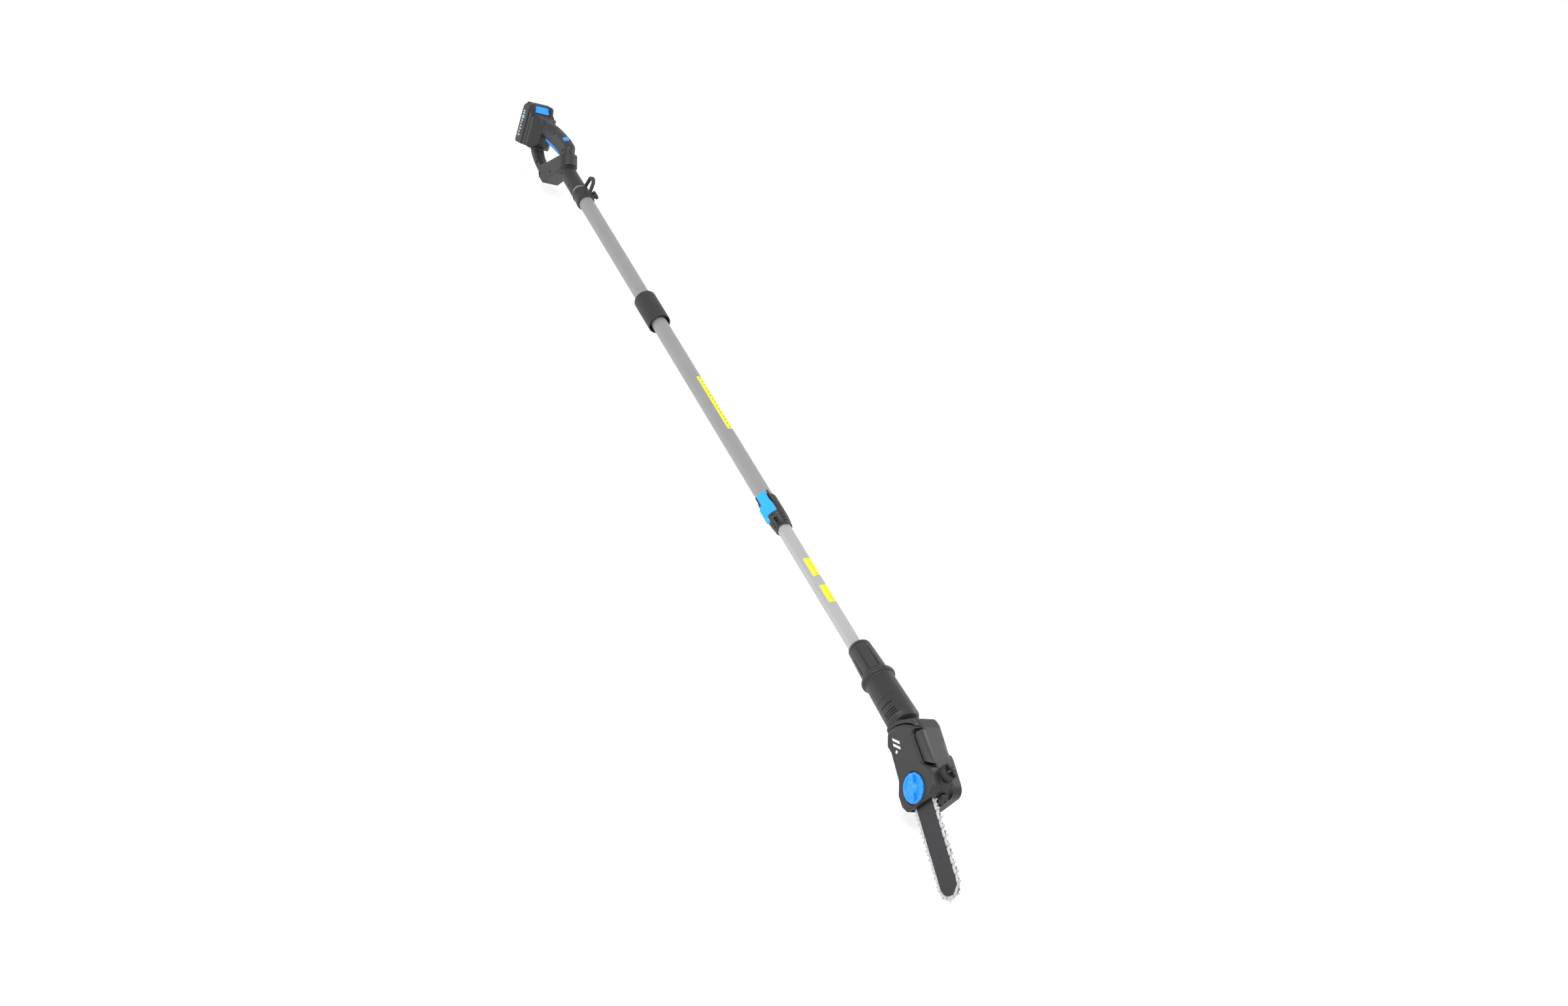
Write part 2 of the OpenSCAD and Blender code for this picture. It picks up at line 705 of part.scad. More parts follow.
// Motor tube, spigot, flange and gear case as one solid, before it is hollowed and split
module head_solid() {
    x0 = housing_rear;
    translate([0, 0, head_rise]) rotate([0, 90, 0]) {
        translate([0, 0, collar_front - spigot_back]) cylinder(h = spigot_back + 4, r = spigot_r);
        translate([0, 0, x0]) cylinder(h = 3, r1 = flange_r - 3, r2 = flange_r);
        translate([0, 0, x0 + 3]) cylinder(h = flange_thick - 6, r = flange_r);
        translate([0, 0, x0 + flange_thick - 3]) cylinder(h = 3, r1 = flange_r, r2 = flange_r - 3);
        translate([0, 0, x0 + flange_thick - 1])
            cylinder(h = motor_housing_length + 12, d1 = motor_housing_rear_d, d2 = motor_housing_d + 1);
    }
    at_head() {
        slab(shell_face_y, head_half - 10) body_outline();
        slab(0, head_half - 6) intersection() {
            body_outline();
            translate([0, -50]) square([200, 119]);
        }
        slab(0, head_half - 2) intersection() {
            body_outline();
            translate([0, -50]) square([200, 115]);
        }
        slab(plate_y, 0) translate([86, bar_mid - 19]) square([92, 38]);
        slab(10, head_half - 6) tank_outline();
        slab(10, head_half) intersection() {
            tank_outline();
            translate([0, -50]) square([200, 116]);
        }
        slab(10, head_half - 1.5) polygon([[16, -12], [16, 30], [26, 54], [46, 60], [104, 62], [110, -20],
            [57, -20], [24, -18]]);
        hull() {
            slab(-20, shell_face_y + 1) polygon([[50, 67], [66, 68], [112, 72.6], [122, 72.6],
                [112, 58.5], [57, 54.5], [52, 57]]);
            slab(-head_half + 5, -20) polygon([[52, 61], [66, 62], [112, 66], [116, 66], [112, 58.5],
                [57, 54.5], [52, 57]]);
        }
        slab(-head_half + 6, shell_face_y + 1) polygon([[8, -16], [9, 20], [22, 55], [34, 61], [42, 62],
            [32, 52], [23, 36], [16, 14], [15, -9], [20, -16]]);
    }
}

motor_rear = head_x - motor_length - motor_front_wall;
motor_front = motor_rear + motor_length;

module head_hollow() {
    at_x = housing_rear + flange_thick;
    octagon_rod(collar_front - spigot_back - over, inner_front + seat_gap,
        inner_wide_flats + seat_gap, inner_narrow_flats + seat_gap);
    rod_x(inner_front, at_x + 8, 12);
    rod_x(at_x + 4, motor_rear, motor_d / 2 + 4);
    rod_x(motor_rear - over, motor_front + seat_gap, motor_d / 2 + shaft_gap);
    rod_x(motor_front - over, motor_front + 4, motor_d / 2 - 4);
    rod_x(motor_front + 3, head_x + output_at[0] - 4, 13);
    at_head() {
        rod_y(output_at[0], output_at[1], -8, 19, gear_r + 4);
        rod_y(output_at[0], output_at[1], plate_y - over, head_half - 6, shaft_r + 2);
        rod_y(output_at[0], output_at[1], -14, -7, bearing_r + shaft_gap);
        rod_y(output_at[0], output_at[1], 17, 23, bearing_r + shaft_gap);
        slab(2, head_half - 3.4) polygon([[108, 30], [108, 66], [116, 69], [162, 69], [175, 60],
            [179, 48], [179, 4], [170, -18], [120, -16], [110, 4]]);
        translate([cap_at[0], 0, 0]) cylinder(h = 100, r = filler_r + shaft_gap);
        block([110, -12, 44], [140, 0.5, 64]);
        rod_y(knob_at[0], knob_at[1], -18, 0.2, stud_r + 0.02);
        translate([0, tension_y, tension_z]) {
            rod_x(146, 190, 2.5 + seat_gap);
            rod_x(173.8, 190, 4 + run_gap);
            block([154, -3.4, -4.2], [168, 3.4, 4.2]);
            block([157, -9, -3.2], [165, -3, 3.2]);
        }
    }
}

// Cooling slots round the motor tube: how far each lies behind the head's datum
vent_back = [28, 13, 7.5, 2];

module vent_slots() {
    for (d = vent_back) intersection() {
        difference() {
            translate([0, 0, head_rise]) rod_x(head_x - d, head_x - d + 1.8, 40);
            translate([0, 0, head_rise]) rod_x(head_x - d - over, head_x - d + 3, motor_housing_d / 2 - 4);
        }
        for (side = [-1, 1]) scale([1, side, 1]) rotate([-22, 0, 0])
            block([head_x - d - over, -60, head_rise - 14], [head_x, 0, head_rise + 15]);
    }
}

head_screw_spots = [[36, -10], [34, 40], [92, -14], [96, 62], [126, -21], [160, -23]];

module head_screw_holes() {
    at_head() for (s = head_screw_spots) {
        rod_y(s[0], s[1], -40, 21, screw_r + seat_gap);
        rod_y(s[0], s[1], -40, -10, 3.2);
    }
}

module head_shell(side) {
    difference() {
        intersection() {
            head_solid();
            translate([head_x, 0, 0]) half_space(side, 400);
        }
        head_hollow();
        vent_slots();
        head_screw_holes();
    }
}

module head_left_shell() {
    color(black) head_shell(-1);
}

module head_right_shell() {
    color(black) head_shell(1);
}

module head_screws() {
    color(steel) at_head() for (s = head_screw_spots) union() {
        rod_y(s[0], s[1], -10.5, 18, screw_r);
        difference() {
            rod_y(s[0], s[1], -12.6, -10.1, 3);
            rod_y(s[0], s[1], -13, -11.4, 1.2);
        }
    }
}

// ---------------------------------------------------------------- motor and drive
shaft_r = 5;
motor_shaft_r = 2.5;
gear_r = 20;
gear_teeth = 30;
pinion_teeth = 12;
pinion_r = gear_r * pinion_teeth / gear_teeth;
bearing_r = 11;
tooth_high = 1.1;
tip_gap = 0.5;

module motor_can() {
    color(steel) difference() {
        rod_x(motor_rear, motor_front, motor_d / 2);
        rod_x(motor_rear + 2.5, motor_front - 2.5, motor_d / 2 - 5);
        rod_x(motor_rear - over, motor_front + over, motor_shaft_r + shaft_gap);
    }
}

module motor_rotor() {
    color([0.6, 0.35, 0.2]) union() {
        rod_x(motor_rear - 9, head_x + cross_x - gear_r + 6, motor_shaft_r);
        rod_x(motor_rear + 12, motor_front - 8, motor_d / 2 - 6);
        rod_x(motor_rear + 4, motor_rear + 11, 6);
    }
}

module motor_fan() {
    color(soft_black) difference() {
        union() {
            rod_x(motor_rear - 8, motor_rear - 1.5, 5);
            rod_x(motor_rear - 3, motor_rear - 1.5, motor_d / 2 - 1);
            for (a = [0:40:320]) rotate([a, 0, 0])
                block([motor_rear - 7.5, -0.7, 4], [motor_rear - 2, 0.7, motor_d / 2 - 1]);
        }
        rod_x(motor_rear - 10, motor_rear, motor_shaft_r);
    }
}

// Bevel pair: the pinion turns about the pole's axis and the gear about the output shaft.
// Both pitch cones meet where the two axes cross.
cross_x = bar_mid / sin(head_tilt);

module bevel_pinion() {
    slope = atan(pinion_r / gear_r);
    x0 = head_x + cross_x - gear_r;
    far = 8;
    color(steel) difference() {
        union() {
            translate([x0, 0, 0]) rotate([0, 90, 0])
                cylinder(h = far, r1 = pinion_r - tooth_high,
                    r2 = pinion_r * (1 - far / gear_r) - tooth_high);
            rod_x(x0 - 5, x0 + 0.1, pinion_r - tooth_high);
            for (k = [0:pinion_teeth - 1]) rotate([90 + k * 360 / pinion_teeth, 0, 0])
                translate([x0, 0, pinion_r]) rotate([0, slope, 0])
                    block([0, -0.8, -tooth_high - 1.2], [far, 0.8, tooth_high - tip_gap]);
        }
        rod_x(x0 - 6, x0 + far + 4, motor_shaft_r);
    }
}

// The gear's frame: z is the output shaft's axis, +Y of the part, and x points back at the pinion
module at_gear() {
    translate([head_x + cross_x, 0, 0]) rotate([-90, 0, 0]) rotate([0, 0, 180]) children();
}

module bevel_gear() {
    slope = atan(pinion_r / gear_r);
    inner_r = gear_r - 9;
    color(steel) at_gear() difference() {
        union() {
            rotate_extrude() polygon([[shaft_r, pinion_r + 4],
                [shaft_r, pinion_r * inner_r / gear_r + tooth_high],
                [inner_r, pinion_r * inner_r / gear_r + tooth_high],
                [gear_r + 0.5, pinion_r + tooth_high], [gear_r + 0.5, pinion_r + 4]]);
            for (k = [0:gear_teeth - 1]) rotate([0, 0, (k + 0.5) * 360 / gear_teeth])
                translate([gear_r, 0, pinion_r]) rotate([0, slope, 0])
                    mirror([1, 0, 0]) block([0, -0.8, tip_gap - tooth_high], [8.6, 0.8, tooth_high + 1.6]);
        }
        translate([0, 0, -over]) cylinder(h = 40, r = shaft_r);
    }
}

module output_shaft() {
    color(steel) at_head() union() {
        rod_y(output_at[0], output_at[1], chain_y - 4, head_half - 9, shaft_r - 0.02);
    }
}

module bearing(y0, y1) {
    color(steel) at_head() difference() {
        rod_y(output_at[0], output_at[1], y0, y1, bearing_r);
        rod_y(output_at[0], output_at[1], y0 - over, y1 + over, shaft_r + shaft_gap - 0.02);
    }
}

module bearing_left() {
    bearing(-13.8, -7.2);
}

module bearing_right() {
    bearing(17.2, 22.8);
}

sprocket_teeth = 6;
sprocket_r = 17.5;
rail_r = 18.2;

module drive_sprocket() {
    color(steel) at_head() difference() {
        union() {
            rod_y(output_at[0], output_at[1], chain_y - 2.6, plate_y - 0.4, 9);
            slab(chain_y - 1.6, chain_y + 1.4) translate(output_at) union() {
                circle(sprocket_r - 4.4);
                for (k = [0:sprocket_teeth - 1]) rotate(k * 360 / sprocket_teeth)
                    polygon([[8, -5], [sprocket_r - 2, -2], [sprocket_r - 2, 2], [8, 5]]);
            }
        }
        rod_y(output_at[0], output_at[1], -40, 0, shaft_r);
    }
}

// ---------------------------------------------------------------- cover and its knob
knob_face_y = -head_half - 7;
knob_rim_y = -head_half - 3.4;
stud_r = 3.9;
cover_face_y = -head_half;
tension_y = chain_y + 7.5;
tension_z = bar_mid - 18;
tension_pin_x = knob_at[0] + 16;

module sprocket_cover() {
    inside = shell_face_y - 0.05;
    color(black) at_head() difference() {
        union() {
            slab(cover_face_y + 3, inside) cover_outline();
            slab(cover_face_y, cover_face_y + 3.1) polygon([[21, -7], [22, 14], [28, 35], [37, 50], [46, 60],
                [54, 51], [60, 49.5], [111, 53], [120, 62], [131, 68.6], [146, 70], [163, 69], [173, 55],
                [172, 20], [170, -20], [158, -27], [138, -28.5], [114, -16], [57, -14], [42, -19],
                [27, -12]]);
        }
        slab(cover_face_y + cover_wall + 6, inside + over) polygon([[22, 2], [24, 22], [33, 40],
            [51, 49], [96, 52.5], [200, 57], [200, -21.5], [96, -17], [52, -16], [32, -9]]);
        rod_y(knob_at[0], knob_at[1], cover_face_y - over, cover_face_y + 2.4, knob_d / 2 + 2.5);
        rod_y(knob_at[0], knob_at[1], cover_face_y - over, inside + over, stud_r + 0.4);
    }
}

module cover_badge() {
    color([0.9, 0.9, 0.9]) at_head()
        slab(cover_face_y - 0.3, cover_face_y - 0.02) polygon([[30, 2], [50, -2], [68, 14], [48, 18]]);
}

module bar_stud() {
    color(steel) at_head() rod_y(knob_at[0], knob_at[1], knob_face_y + 4, 0, stud_r);
}

module cover_knob() {
    outer = knob_d / 2;
    back = cover_face_y + 2.1;
    color(blue) at_head() difference() {
        union() {
            rod_y(knob_at[0], knob_at[1], knob_rim_y, back, outer - 1);
            rod_y(knob_at[0], knob_at[1], knob_face_y, back, 8.6);
            for (k = [0:11]) translate([knob_at[0], 0, knob_at[1]]) rotate([0, k * 30, 0])
                rod_y(outer - 4.2, 0, knob_rim_y + 0.5, back, 4);
            translate([knob_at[0], 0, knob_at[1]]) rotate([0, 20, 0])
                block([-outer + 4, knob_face_y, -4], [outer - 4, cover_face_y, 4]);
        }
        difference() {
            rod_y(knob_at[0], knob_at[1], knob_face_y - over, cover_face_y - 0.8, outer - 6);
            rod_y(knob_at[0], knob_at[1], knob_face_y - 2, 0, 8.6);
            translate([knob_at[0], 0, knob_at[1]]) rotate([0, 20, 0])
                block([-outer, knob_face_y - 2, -4], [outer, 0, 4]);
        }
        rod_y(knob_at[0], knob_at[1], knob_face_y + 3.4, 0, stud_r + shaft_gap);
    }
}

// ---------------------------------------------------------------- bar, chain and tensioner
bar_rear = output_at[0] + 30;
nose_r = bar_width / 2;
nose_at = [bar_tip - nose_r, bar_mid];

// Outline of the chain's path, grown outwards by d
function loop_points(d) = concat(arc(output_at, rail_r + d, 262, 98, 12),
    [[bar_rear + 12, bar_mid + nose_r + d]], arc(nose_at, nose_r + d, 90, -90, 14),
    [[bar_rear + 12, bar_mid - nose_r - d]]);

module guide_bar() {
    color([0.28, 0.28, 0.29]) at_head() difference() {
        slab(bar_front_y, bar_back_y) polygon(concat([[bar_rear, bar_mid - 15], [bar_rear, bar_mid + 15],
            [bar_rear + 12, bar_mid + nose_r]], arc(nose_at, nose_r, 90, -90, 14),
            [[bar_rear + 12, bar_mid - nose_r]]));
        slab(-30, 0) translate([knob_at[0] - 18, bar_mid - stud_r - 0.1])
            square([26, 2 * stud_r + 0.2]);
        rod_y(281, bar_mid, -30, 0, 2.2);
        rod_y(tension_pin_x, tension_z, -30, 0, 2.6);
    }
}

straight = nose_at[0] - output_at[0];
loop_length = 2 * straight + PI * (nose_r + rail_r);

// Point and heading on the chain's path at distance s along it, starting under the sprocket
function loop_at(s) =
    let (a = straight, b = PI * nose_r, u = s - a)
    s < a ? [output_at[0] + s, bar_mid - rail_r - (nose_r - rail_r) * min(1, s / 42), 0] :
    u < b ? [nose_at[0] + nose_r * sin(u / nose_r * 180 / PI),
        bar_mid - nose_r * cos(u / nose_r * 180 / PI), u / nose_r * 180 / PI] :
    u < b + a ? [nose_at[0] - (u - b),
        bar_mid + rail_r + (nose_r - rail_r) * min(1, (a - (u - b)) / 42), 180] :
    let (v = u - b - a) [output_at[0] - rail_r * sin(v / rail_r * 180 / PI),
        bar_mid + rail_r * cos(v / rail_r * 180 / PI), 180 + v / rail_r * 180 / PI];

module saw_chain() {
    pitch = loop_length / chain_pitches;
    color([0.75, 0.75, 0.76]) at_head() union() {
        slab(chain_y - 2.6, chain_y + 2.6) difference() {
            polygon(loop_points(6.2));
            polygon(loop_points(0.35));
        }
        slab(chain_y - 3, chain_y + 3) for (k = [0:chain_pitches - 1]) {
            p = loop_at((k + 0.5) * pitch);
            translate([p[0], p[1]]) rotate(p[2]) polygon([[-4.6, -5], [-3.4, -10], [4.2, -8.8], [5, -5]]);
        }
    }
}

module tension_screw() {
    color(steel) at_head() translate([0, tension_y, tension_z]) difference() {
        union() {
            rod_x(152, 175, 2.5);
            rod_x(174, 177, 4);
        }
        block([176, -0.6, -5], [178, 0.6, 5]);
    }
}

// Nut on the tension screw, whose pin stands in the bar's side hole
module tension_pin() {
    color(steel) at_head() difference() {
        union() {
            translate([0, tension_y, tension_z])
                block([tension_pin_x - 3, -3.2, -4], [tension_pin_x + 3, 3.2, 4]);
            rod_y(tension_pin_x, tension_z, bar_front_y, tension_y - 3, 2.5);
        }
        translate([0, tension_y, tension_z]) rod_x(140, 180, 2.5 + shaft_gap);
    }
}

module bumper_teeth() {
    color(black) at_head() slab(-13, 1.5) difference() {
        polygon([[178.1, 34], [178.1, 62], [183, 62], [189, 57], [184, 52], [184, 49], [189, 44], [184, 39],
            [183, 34]]);
    }
}

// ---------------------------------------------------------------- oil system
filler_r = 9;
cap_high = 14;
cap_bar_turn = 24;

module oil_tank() {
    color([0.85, 0.85, 0.8]) at_head() difference() {
        union() {
            slab(2.5, head_half - 3.8) polygon([[109, 30], [109, 65.5], [116, 68.4], [162, 68.4],
                [174.5, 59.6],
                [178.4, 48], [178.4, 4], [169.6, -17.4], [120.6, -15.4], [110.6, 4]]);
        }
        slab(4.3, head_half - 5.6) polygon([[111, 31], [111, 63.5], [117, 66.4], [161, 66.4], [172.5, 58.6],
            [176.4, 48], [176.4, 5], [168.4, -15.4], [121.6, -13.4], [112.6, 5]]);
        translate([cap_at[0], 0, 40]) cylinder(h = 60, r = filler_r + 0.6);
    }
}

module oil_pump() {
    color(steel) at_head() union() {
        block([112, -11.6, 45], [138, -1, 60]);
    }
}

module oil_cap() {
    r = oil_cap_d / 2;
    z0 = cap_at[1] + 1.3;
    color(soft_black) at_head() translate([cap_at[0], 0, 0]) difference() {
        union() {
            translate([0, 0, z0]) cylinder(h = cap_high, r = r - 0.8);
            for (k = [0:17]) rotate([0, 0, k * 20]) translate([r - 1.2, 0, z0])
                cylinder(h = cap_high - 1, r = 1.2);
            translate([0, 0, z0 + cap_high - 1]) rotate([0, 0, cap_bar_turn]) {
                block([-r + 1.5, -2.2, 0], [r - 1.5, 2.2, 7.5]);
                block([-2, -r + 5, 0], [2, r - 5, 6]);
            }
            translate([0, 0, cap_at[1] - 12]) cylinder(h = 14, r = filler_r - 0.05);
        }
        translate([0, 0, cap_at[1] - 13]) cylinder(h = 16, r = filler_r - 2.4);
    }
}

module oil_cap_seal() {
    color([0.1, 0.1, 0.1]) at_head() translate([cap_at[0], 0, cap_at[1] - 0.3])
        difference() {
            cylinder(h = 1.3, r = filler_r + 3);
            translate([0, 0, -over]) cylinder(h = 4, r = filler_r + 0.1);
        }
}

outer_tube();
mid_grip();
outer_label();
lock_body();
lock_lever();
lock_pin();
lock_pad();
strap_clamp();
strap_clamp_screw();
handle_left_shell();
handle_right_shell();
handle_screws();
trigger();
trigger_pin();
trigger_switch();
lock_off_button();
controller_board();
dock_terminal_block();
battery_case();
battery_lid();
battery_cells();
battery_board();
battery_gauge();
battery_release_button();
inner_tube();
inner_tube_plug();
reach_label_rear();
reach_label_front();
coupling_collar();
head_left_shell();
head_right_shell();
head_screws();
motor_can();
motor_rotor();
motor_fan();
bevel_pinion();
bevel_gear();
output_shaft();
bearing_left();
bearing_right();
drive_sprocket();
sprocket_cover();
cover_badge();
bar_stud();
cover_knob();
guide_bar();
saw_chain();
tension_screw();
tension_pin();
bumper_teeth();
oil_tank();
oil_pump();
oil_cap();
oil_cap_seal();
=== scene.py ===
"""Looks of the telescoping pole saw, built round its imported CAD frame.

Shapes are made in millimetres in the frame of the sub-assembly that they belong to, and are
turned to metres in the part's own frame when a piece is finished. +X runs along the pole
towards the saw, +Z is up and the sprocket cover faces -Y.
"""

import logging
import math
from dataclasses import dataclass, field
from enum import Enum
from typing import Callable, Iterable, Sequence

import bmesh
import bpy
from mathutils import Matrix, Vector


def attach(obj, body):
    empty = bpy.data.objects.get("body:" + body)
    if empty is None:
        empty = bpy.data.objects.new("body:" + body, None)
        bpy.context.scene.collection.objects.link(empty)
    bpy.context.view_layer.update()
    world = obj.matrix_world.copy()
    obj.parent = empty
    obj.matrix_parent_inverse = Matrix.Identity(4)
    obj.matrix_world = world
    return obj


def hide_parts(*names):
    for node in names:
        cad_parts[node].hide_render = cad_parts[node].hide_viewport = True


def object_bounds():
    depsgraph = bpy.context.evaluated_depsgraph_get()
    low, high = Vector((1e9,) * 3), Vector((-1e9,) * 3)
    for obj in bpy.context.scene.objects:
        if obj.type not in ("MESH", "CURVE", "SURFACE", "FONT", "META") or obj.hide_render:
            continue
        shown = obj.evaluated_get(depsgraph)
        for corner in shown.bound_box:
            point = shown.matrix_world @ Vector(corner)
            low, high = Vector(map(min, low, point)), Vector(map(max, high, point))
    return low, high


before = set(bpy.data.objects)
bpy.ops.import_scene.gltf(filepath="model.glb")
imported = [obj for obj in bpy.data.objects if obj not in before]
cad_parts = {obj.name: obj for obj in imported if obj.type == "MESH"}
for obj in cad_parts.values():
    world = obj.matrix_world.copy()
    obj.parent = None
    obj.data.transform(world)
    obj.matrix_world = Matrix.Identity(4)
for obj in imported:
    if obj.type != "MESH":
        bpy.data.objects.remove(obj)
CAD_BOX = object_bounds()

MM = 0.001
MIX_A, MIX_B, MIX_RESULT = 6, 7, 2   # a Mix node's colour sockets
PARTING = 0.13                       # half of the gap between two half shells, mm
LOG = logging.getLogger("pole_saw")
Point2 = tuple[float, float]
Point3 = tuple[float, float, float]


# ------------------------------------------------------------------ shapes
class Form:
    """A closed shape in millimetres, kept as a bmesh until it becomes a piece."""

    def __init__(self, bm: bmesh.types.BMesh | None = None) -> None:
        """Wraps a bmesh, or starts an empty one."""
        self.bm = bm if bm is not None else bmesh.new()

    @classmethod
    def prism(cls, outline: Sequence[Point2], low: float, high: float, rim: float = 0.0,
              corner: float = 0.0, segments: int = 3) -> "Form":
        """Extrudes an outline drawn in (x, z) along Y.

        Args:
            outline: corners in order round the shape.
            low: y of the near face.
            high: y of the far face.
            rim: bevel width on the edges of the two flat faces.
            corner: bevel width on the edges that run along Y.
            segments: segments in each bevel.

        Returns:
            The closed prism.
        """
        form = cls()
        bm = form.bm
        face = bm.faces.new([bm.verts.new((x, low, z)) for x, z in outline])
        grown = bmesh.ops.extrude_face_region(bm, geom=[face])["geom"]
        moved = [v for v in grown if isinstance(v, bmesh.types.BMVert)]
        bmesh.ops.translate(bm, verts=moved, vec=(0, high - low, 0))
        bmesh.ops.recalc_face_normals(bm, faces=bm.faces)
        if corner:
            form.bevel(lambda e: abs(e.verts[0].co.y - e.verts[1].co.y) > 1e-4, corner, segments)
        if rim:
            form.bevel(lambda e: all(abs(v.co.y - low) < 1e-4 for v in e.verts)
                       or all(abs(v.co.y - high) < 1e-4 for v in e.verts), rim, segments)
        return form

    @classmethod
    def pillow(cls, outline: Sequence[Point2], half: float, roundness: float,
               layers: int = 6) -> "Form":
        """A prism from -half to half along Y whose two faces are rounded over like a grip.

        Args:
            outline: corners in order round the shape, at its widest.
            half: half of its width.
            roundness: radius that the faces are rounded with.
            layers: loops in each rounded edge.

        Returns:
            The closed shape.
        """
        form = cls()
        bm = form.bm
        stops = [math.radians(90 * i / layers) for i in range(layers + 1)]
        rows = [(-half + roundness * (1 - math.sin(a)), roundness * (1 - math.cos(a)))
                for a in reversed(stops)]
        rows += [(-y, d) for y, d in reversed(rows)]
        loops = []
        for y, d in rows:
            verts = [bm.verts.new((x, y, z)) for x, z in inset_outline(outline, d)]
            loops.append([bm.edges.new(pair) for pair in zip(verts, verts[1:] + verts[:1])])
            if y in (rows[0][0], rows[-1][0]):
                bm.faces.new(verts)
        for one, two in zip(loops, loops[1:]):
            bmesh.ops.bridge_loops(bm, edges=one + two)
        bmesh.ops.recalc_face_normals(bm, faces=bm.faces)
        return form

    @classmethod
    def plate(cls, outline: Sequence[Point2], low: float, high: float, rim: float = 0.0,
              corner: float = 0.0) -> "Form":
        """A prism whose outline is drawn in (x, y) and which stands along Z from low to high."""
        return cls.prism([(x, -y) for x, y in outline], low, high, rim, corner).turn(90, "X")

    @classmethod
    def lathe(cls, profile: Sequence[Point2], steps: int = 96) -> "Form":
        """Spins a profile of (x, radius) points about X.

        Args:
            profile: points in order. A profile that starts and ends off the axis is closed up.
            steps: facets round the axis.

        Returns:
            The closed shape.
        """
        form = cls()
        bm = form.bm
        verts = [bm.verts.new((x, 0, r)) for x, r in profile]
        edges = [bm.edges.new(pair) for pair in zip(verts, verts[1:])]
        if profile[0][1] > 1e-6 or profile[-1][1] > 1e-6:
            edges.append(bm.edges.new((verts[-1], verts[0])))
        bmesh.ops.spin(bm, geom=verts + edges, axis=(1, 0, 0), cent=(0, 0, 0), angle=math.tau,
                       steps=steps, use_merge=True, use_duplicate=False)
        bmesh.ops.remove_doubles(bm, verts=bm.verts, dist=1e-4)
        bmesh.ops.recalc_face_normals(bm, faces=bm.faces)
        return form

    @classmethod
    def block(cls, low: Point3, high: Point3, edge: float = 0.0, segments: int = 2) -> "Form":
        """Box between two corners, with all its edges bevelled by edge."""
        form = cls()
        centre = [(a + b) / 2 for a, b in zip(low, high)]
        size = [b - a for a, b in zip(low, high)]
        bmesh.ops.create_cube(form.bm, size=1,
                              matrix=Matrix.Translation(centre) @ Matrix.Diagonal((*size, 1)))
        if edge:
            form.bevel(lambda e: True, edge, segments)
        return form

    @classmethod
    def rod(cls, start: Point3, end: Point3, radius: float, tip: float | None = None,
            edge: float = 0.0, sides: int = 40) -> "Form":
        """Rod or cone from start to end.

        Args:
            start: middle of the first end.
            end: middle of the other end.
            radius: radius at the start.
            tip: radius at the end, the same as at the start when left out.
            edge: bevel width on the two rims.
            sides: facets round the rod.

        Returns:
            The closed rod.
        """
        form = cls()
        a, b = Vector(start), Vector(end)
        turn = (b - a).to_track_quat("Z", "Y").to_matrix().to_4x4()
        bmesh.ops.create_cone(form.bm, cap_ends=True, segments=sides, radius1=radius,
                              radius2=radius if tip is None else tip, depth=(b - a).length,
                              matrix=Matrix.Translation((a + b) / 2) @ turn)
        if edge:
            form.bevel(lambda e: any(len(f.verts) > 4 for f in e.link_faces), edge, 2)
        return form

    @classmethod
    def hull(cls, points: Iterable[Point3], edge: float = 0.0) -> "Form":
        """Convex shape round some points, with all its edges bevelled by edge."""
        form = cls()
        for p in points:
            form.bm.verts.new(p)
        bmesh.ops.convex_hull(form.bm, input=form.bm.verts)
        bmesh.ops.dissolve_limit(form.bm, angle_limit=0.02, verts=form.bm.verts, edges=form.bm.edges)
        if edge:
            form.bevel(lambda e: True, edge, 2)
        return form

    def bevel(self, pick: Callable[[bmesh.types.BMEdge], bool], width: float,
              segments: int = 3) -> "Form":
        """Rounds the edges that pick accepts."""
        edges = [e for e in self.bm.edges if pick(e)]
        bmesh.ops.bevel(self.bm, geom=edges, offset=width, offset_type="OFFSET", segments=segments,
                        profile=0.5, affect="EDGES", clamp_overlap=True, material=-1)
        return self

    def copy(self) -> "Form":
        """A second form with the same shape."""
        return Form(self.bm.copy())

    def move(self, matrix: Matrix) -> "Form":
        """Places the form with a matrix."""
        bmesh.ops.transform(self.bm, matrix=matrix, verts=self.bm.verts)
        if matrix.determinant() < 0:
            bmesh.ops.reverse_faces(self.bm, faces=self.bm.faces)
        return self

    def shift(self, x: float = 0.0, y: float = 0.0, z: float = 0.0) -> "Form":
        """Moves the form by a distance along each axis."""
        return self.move(Matrix.Translation((x, y, z)))

    def turn(self, degrees: float, axis: str, at: Point3 = (0, 0, 0)) -> "Form":
        """Turns the form about an axis through a point."""
        to = Matrix.Translation(at)
        return self.move(to @ Matrix.Rotation(math.radians(degrees), 4, axis) @ to.inverted())

    def add(self, *others: "Form") -> "Form":
        """Joins other forms to this one as separate shells of one piece."""
        for other in others:
            mesh = bpy.data.meshes.new("joined")
            other.bm.to_mesh(mesh)
            self.bm.from_mesh(mesh)
            bpy.data.meshes.remove(mesh)
        return self

    def _object(self, name: str) -> bpy.types.Object:
        """A throwaway object with this form's mesh."""
        mesh = bpy.data.meshes.new(name)
        self.bm.to_mesh(mesh)
        made = bpy.data.objects.new(name, mesh)
        bpy.context.scene.collection.objects.link(made)
        return made

    def _modified(self, setup: Callable[[bpy.types.Object], list[bpy.types.Object]]) -> "Form":
        """Applies the modifiers that setup adds, and removes the objects used."""
        made = self._object("work")
        used = setup(made)
        view = bpy.context.evaluated_depsgraph_get()
        mesh = bpy.data.meshes.new_from_object(made.evaluated_get(view))
        self.bm.free()
        self.bm = bmesh.new()
        self.bm.from_mesh(mesh)
        bpy.data.meshes.remove(mesh)
        for extra in (made, *used):
            data = extra.data
            bpy.data.objects.remove(extra)
            bpy.data.meshes.remove(data)
        return self

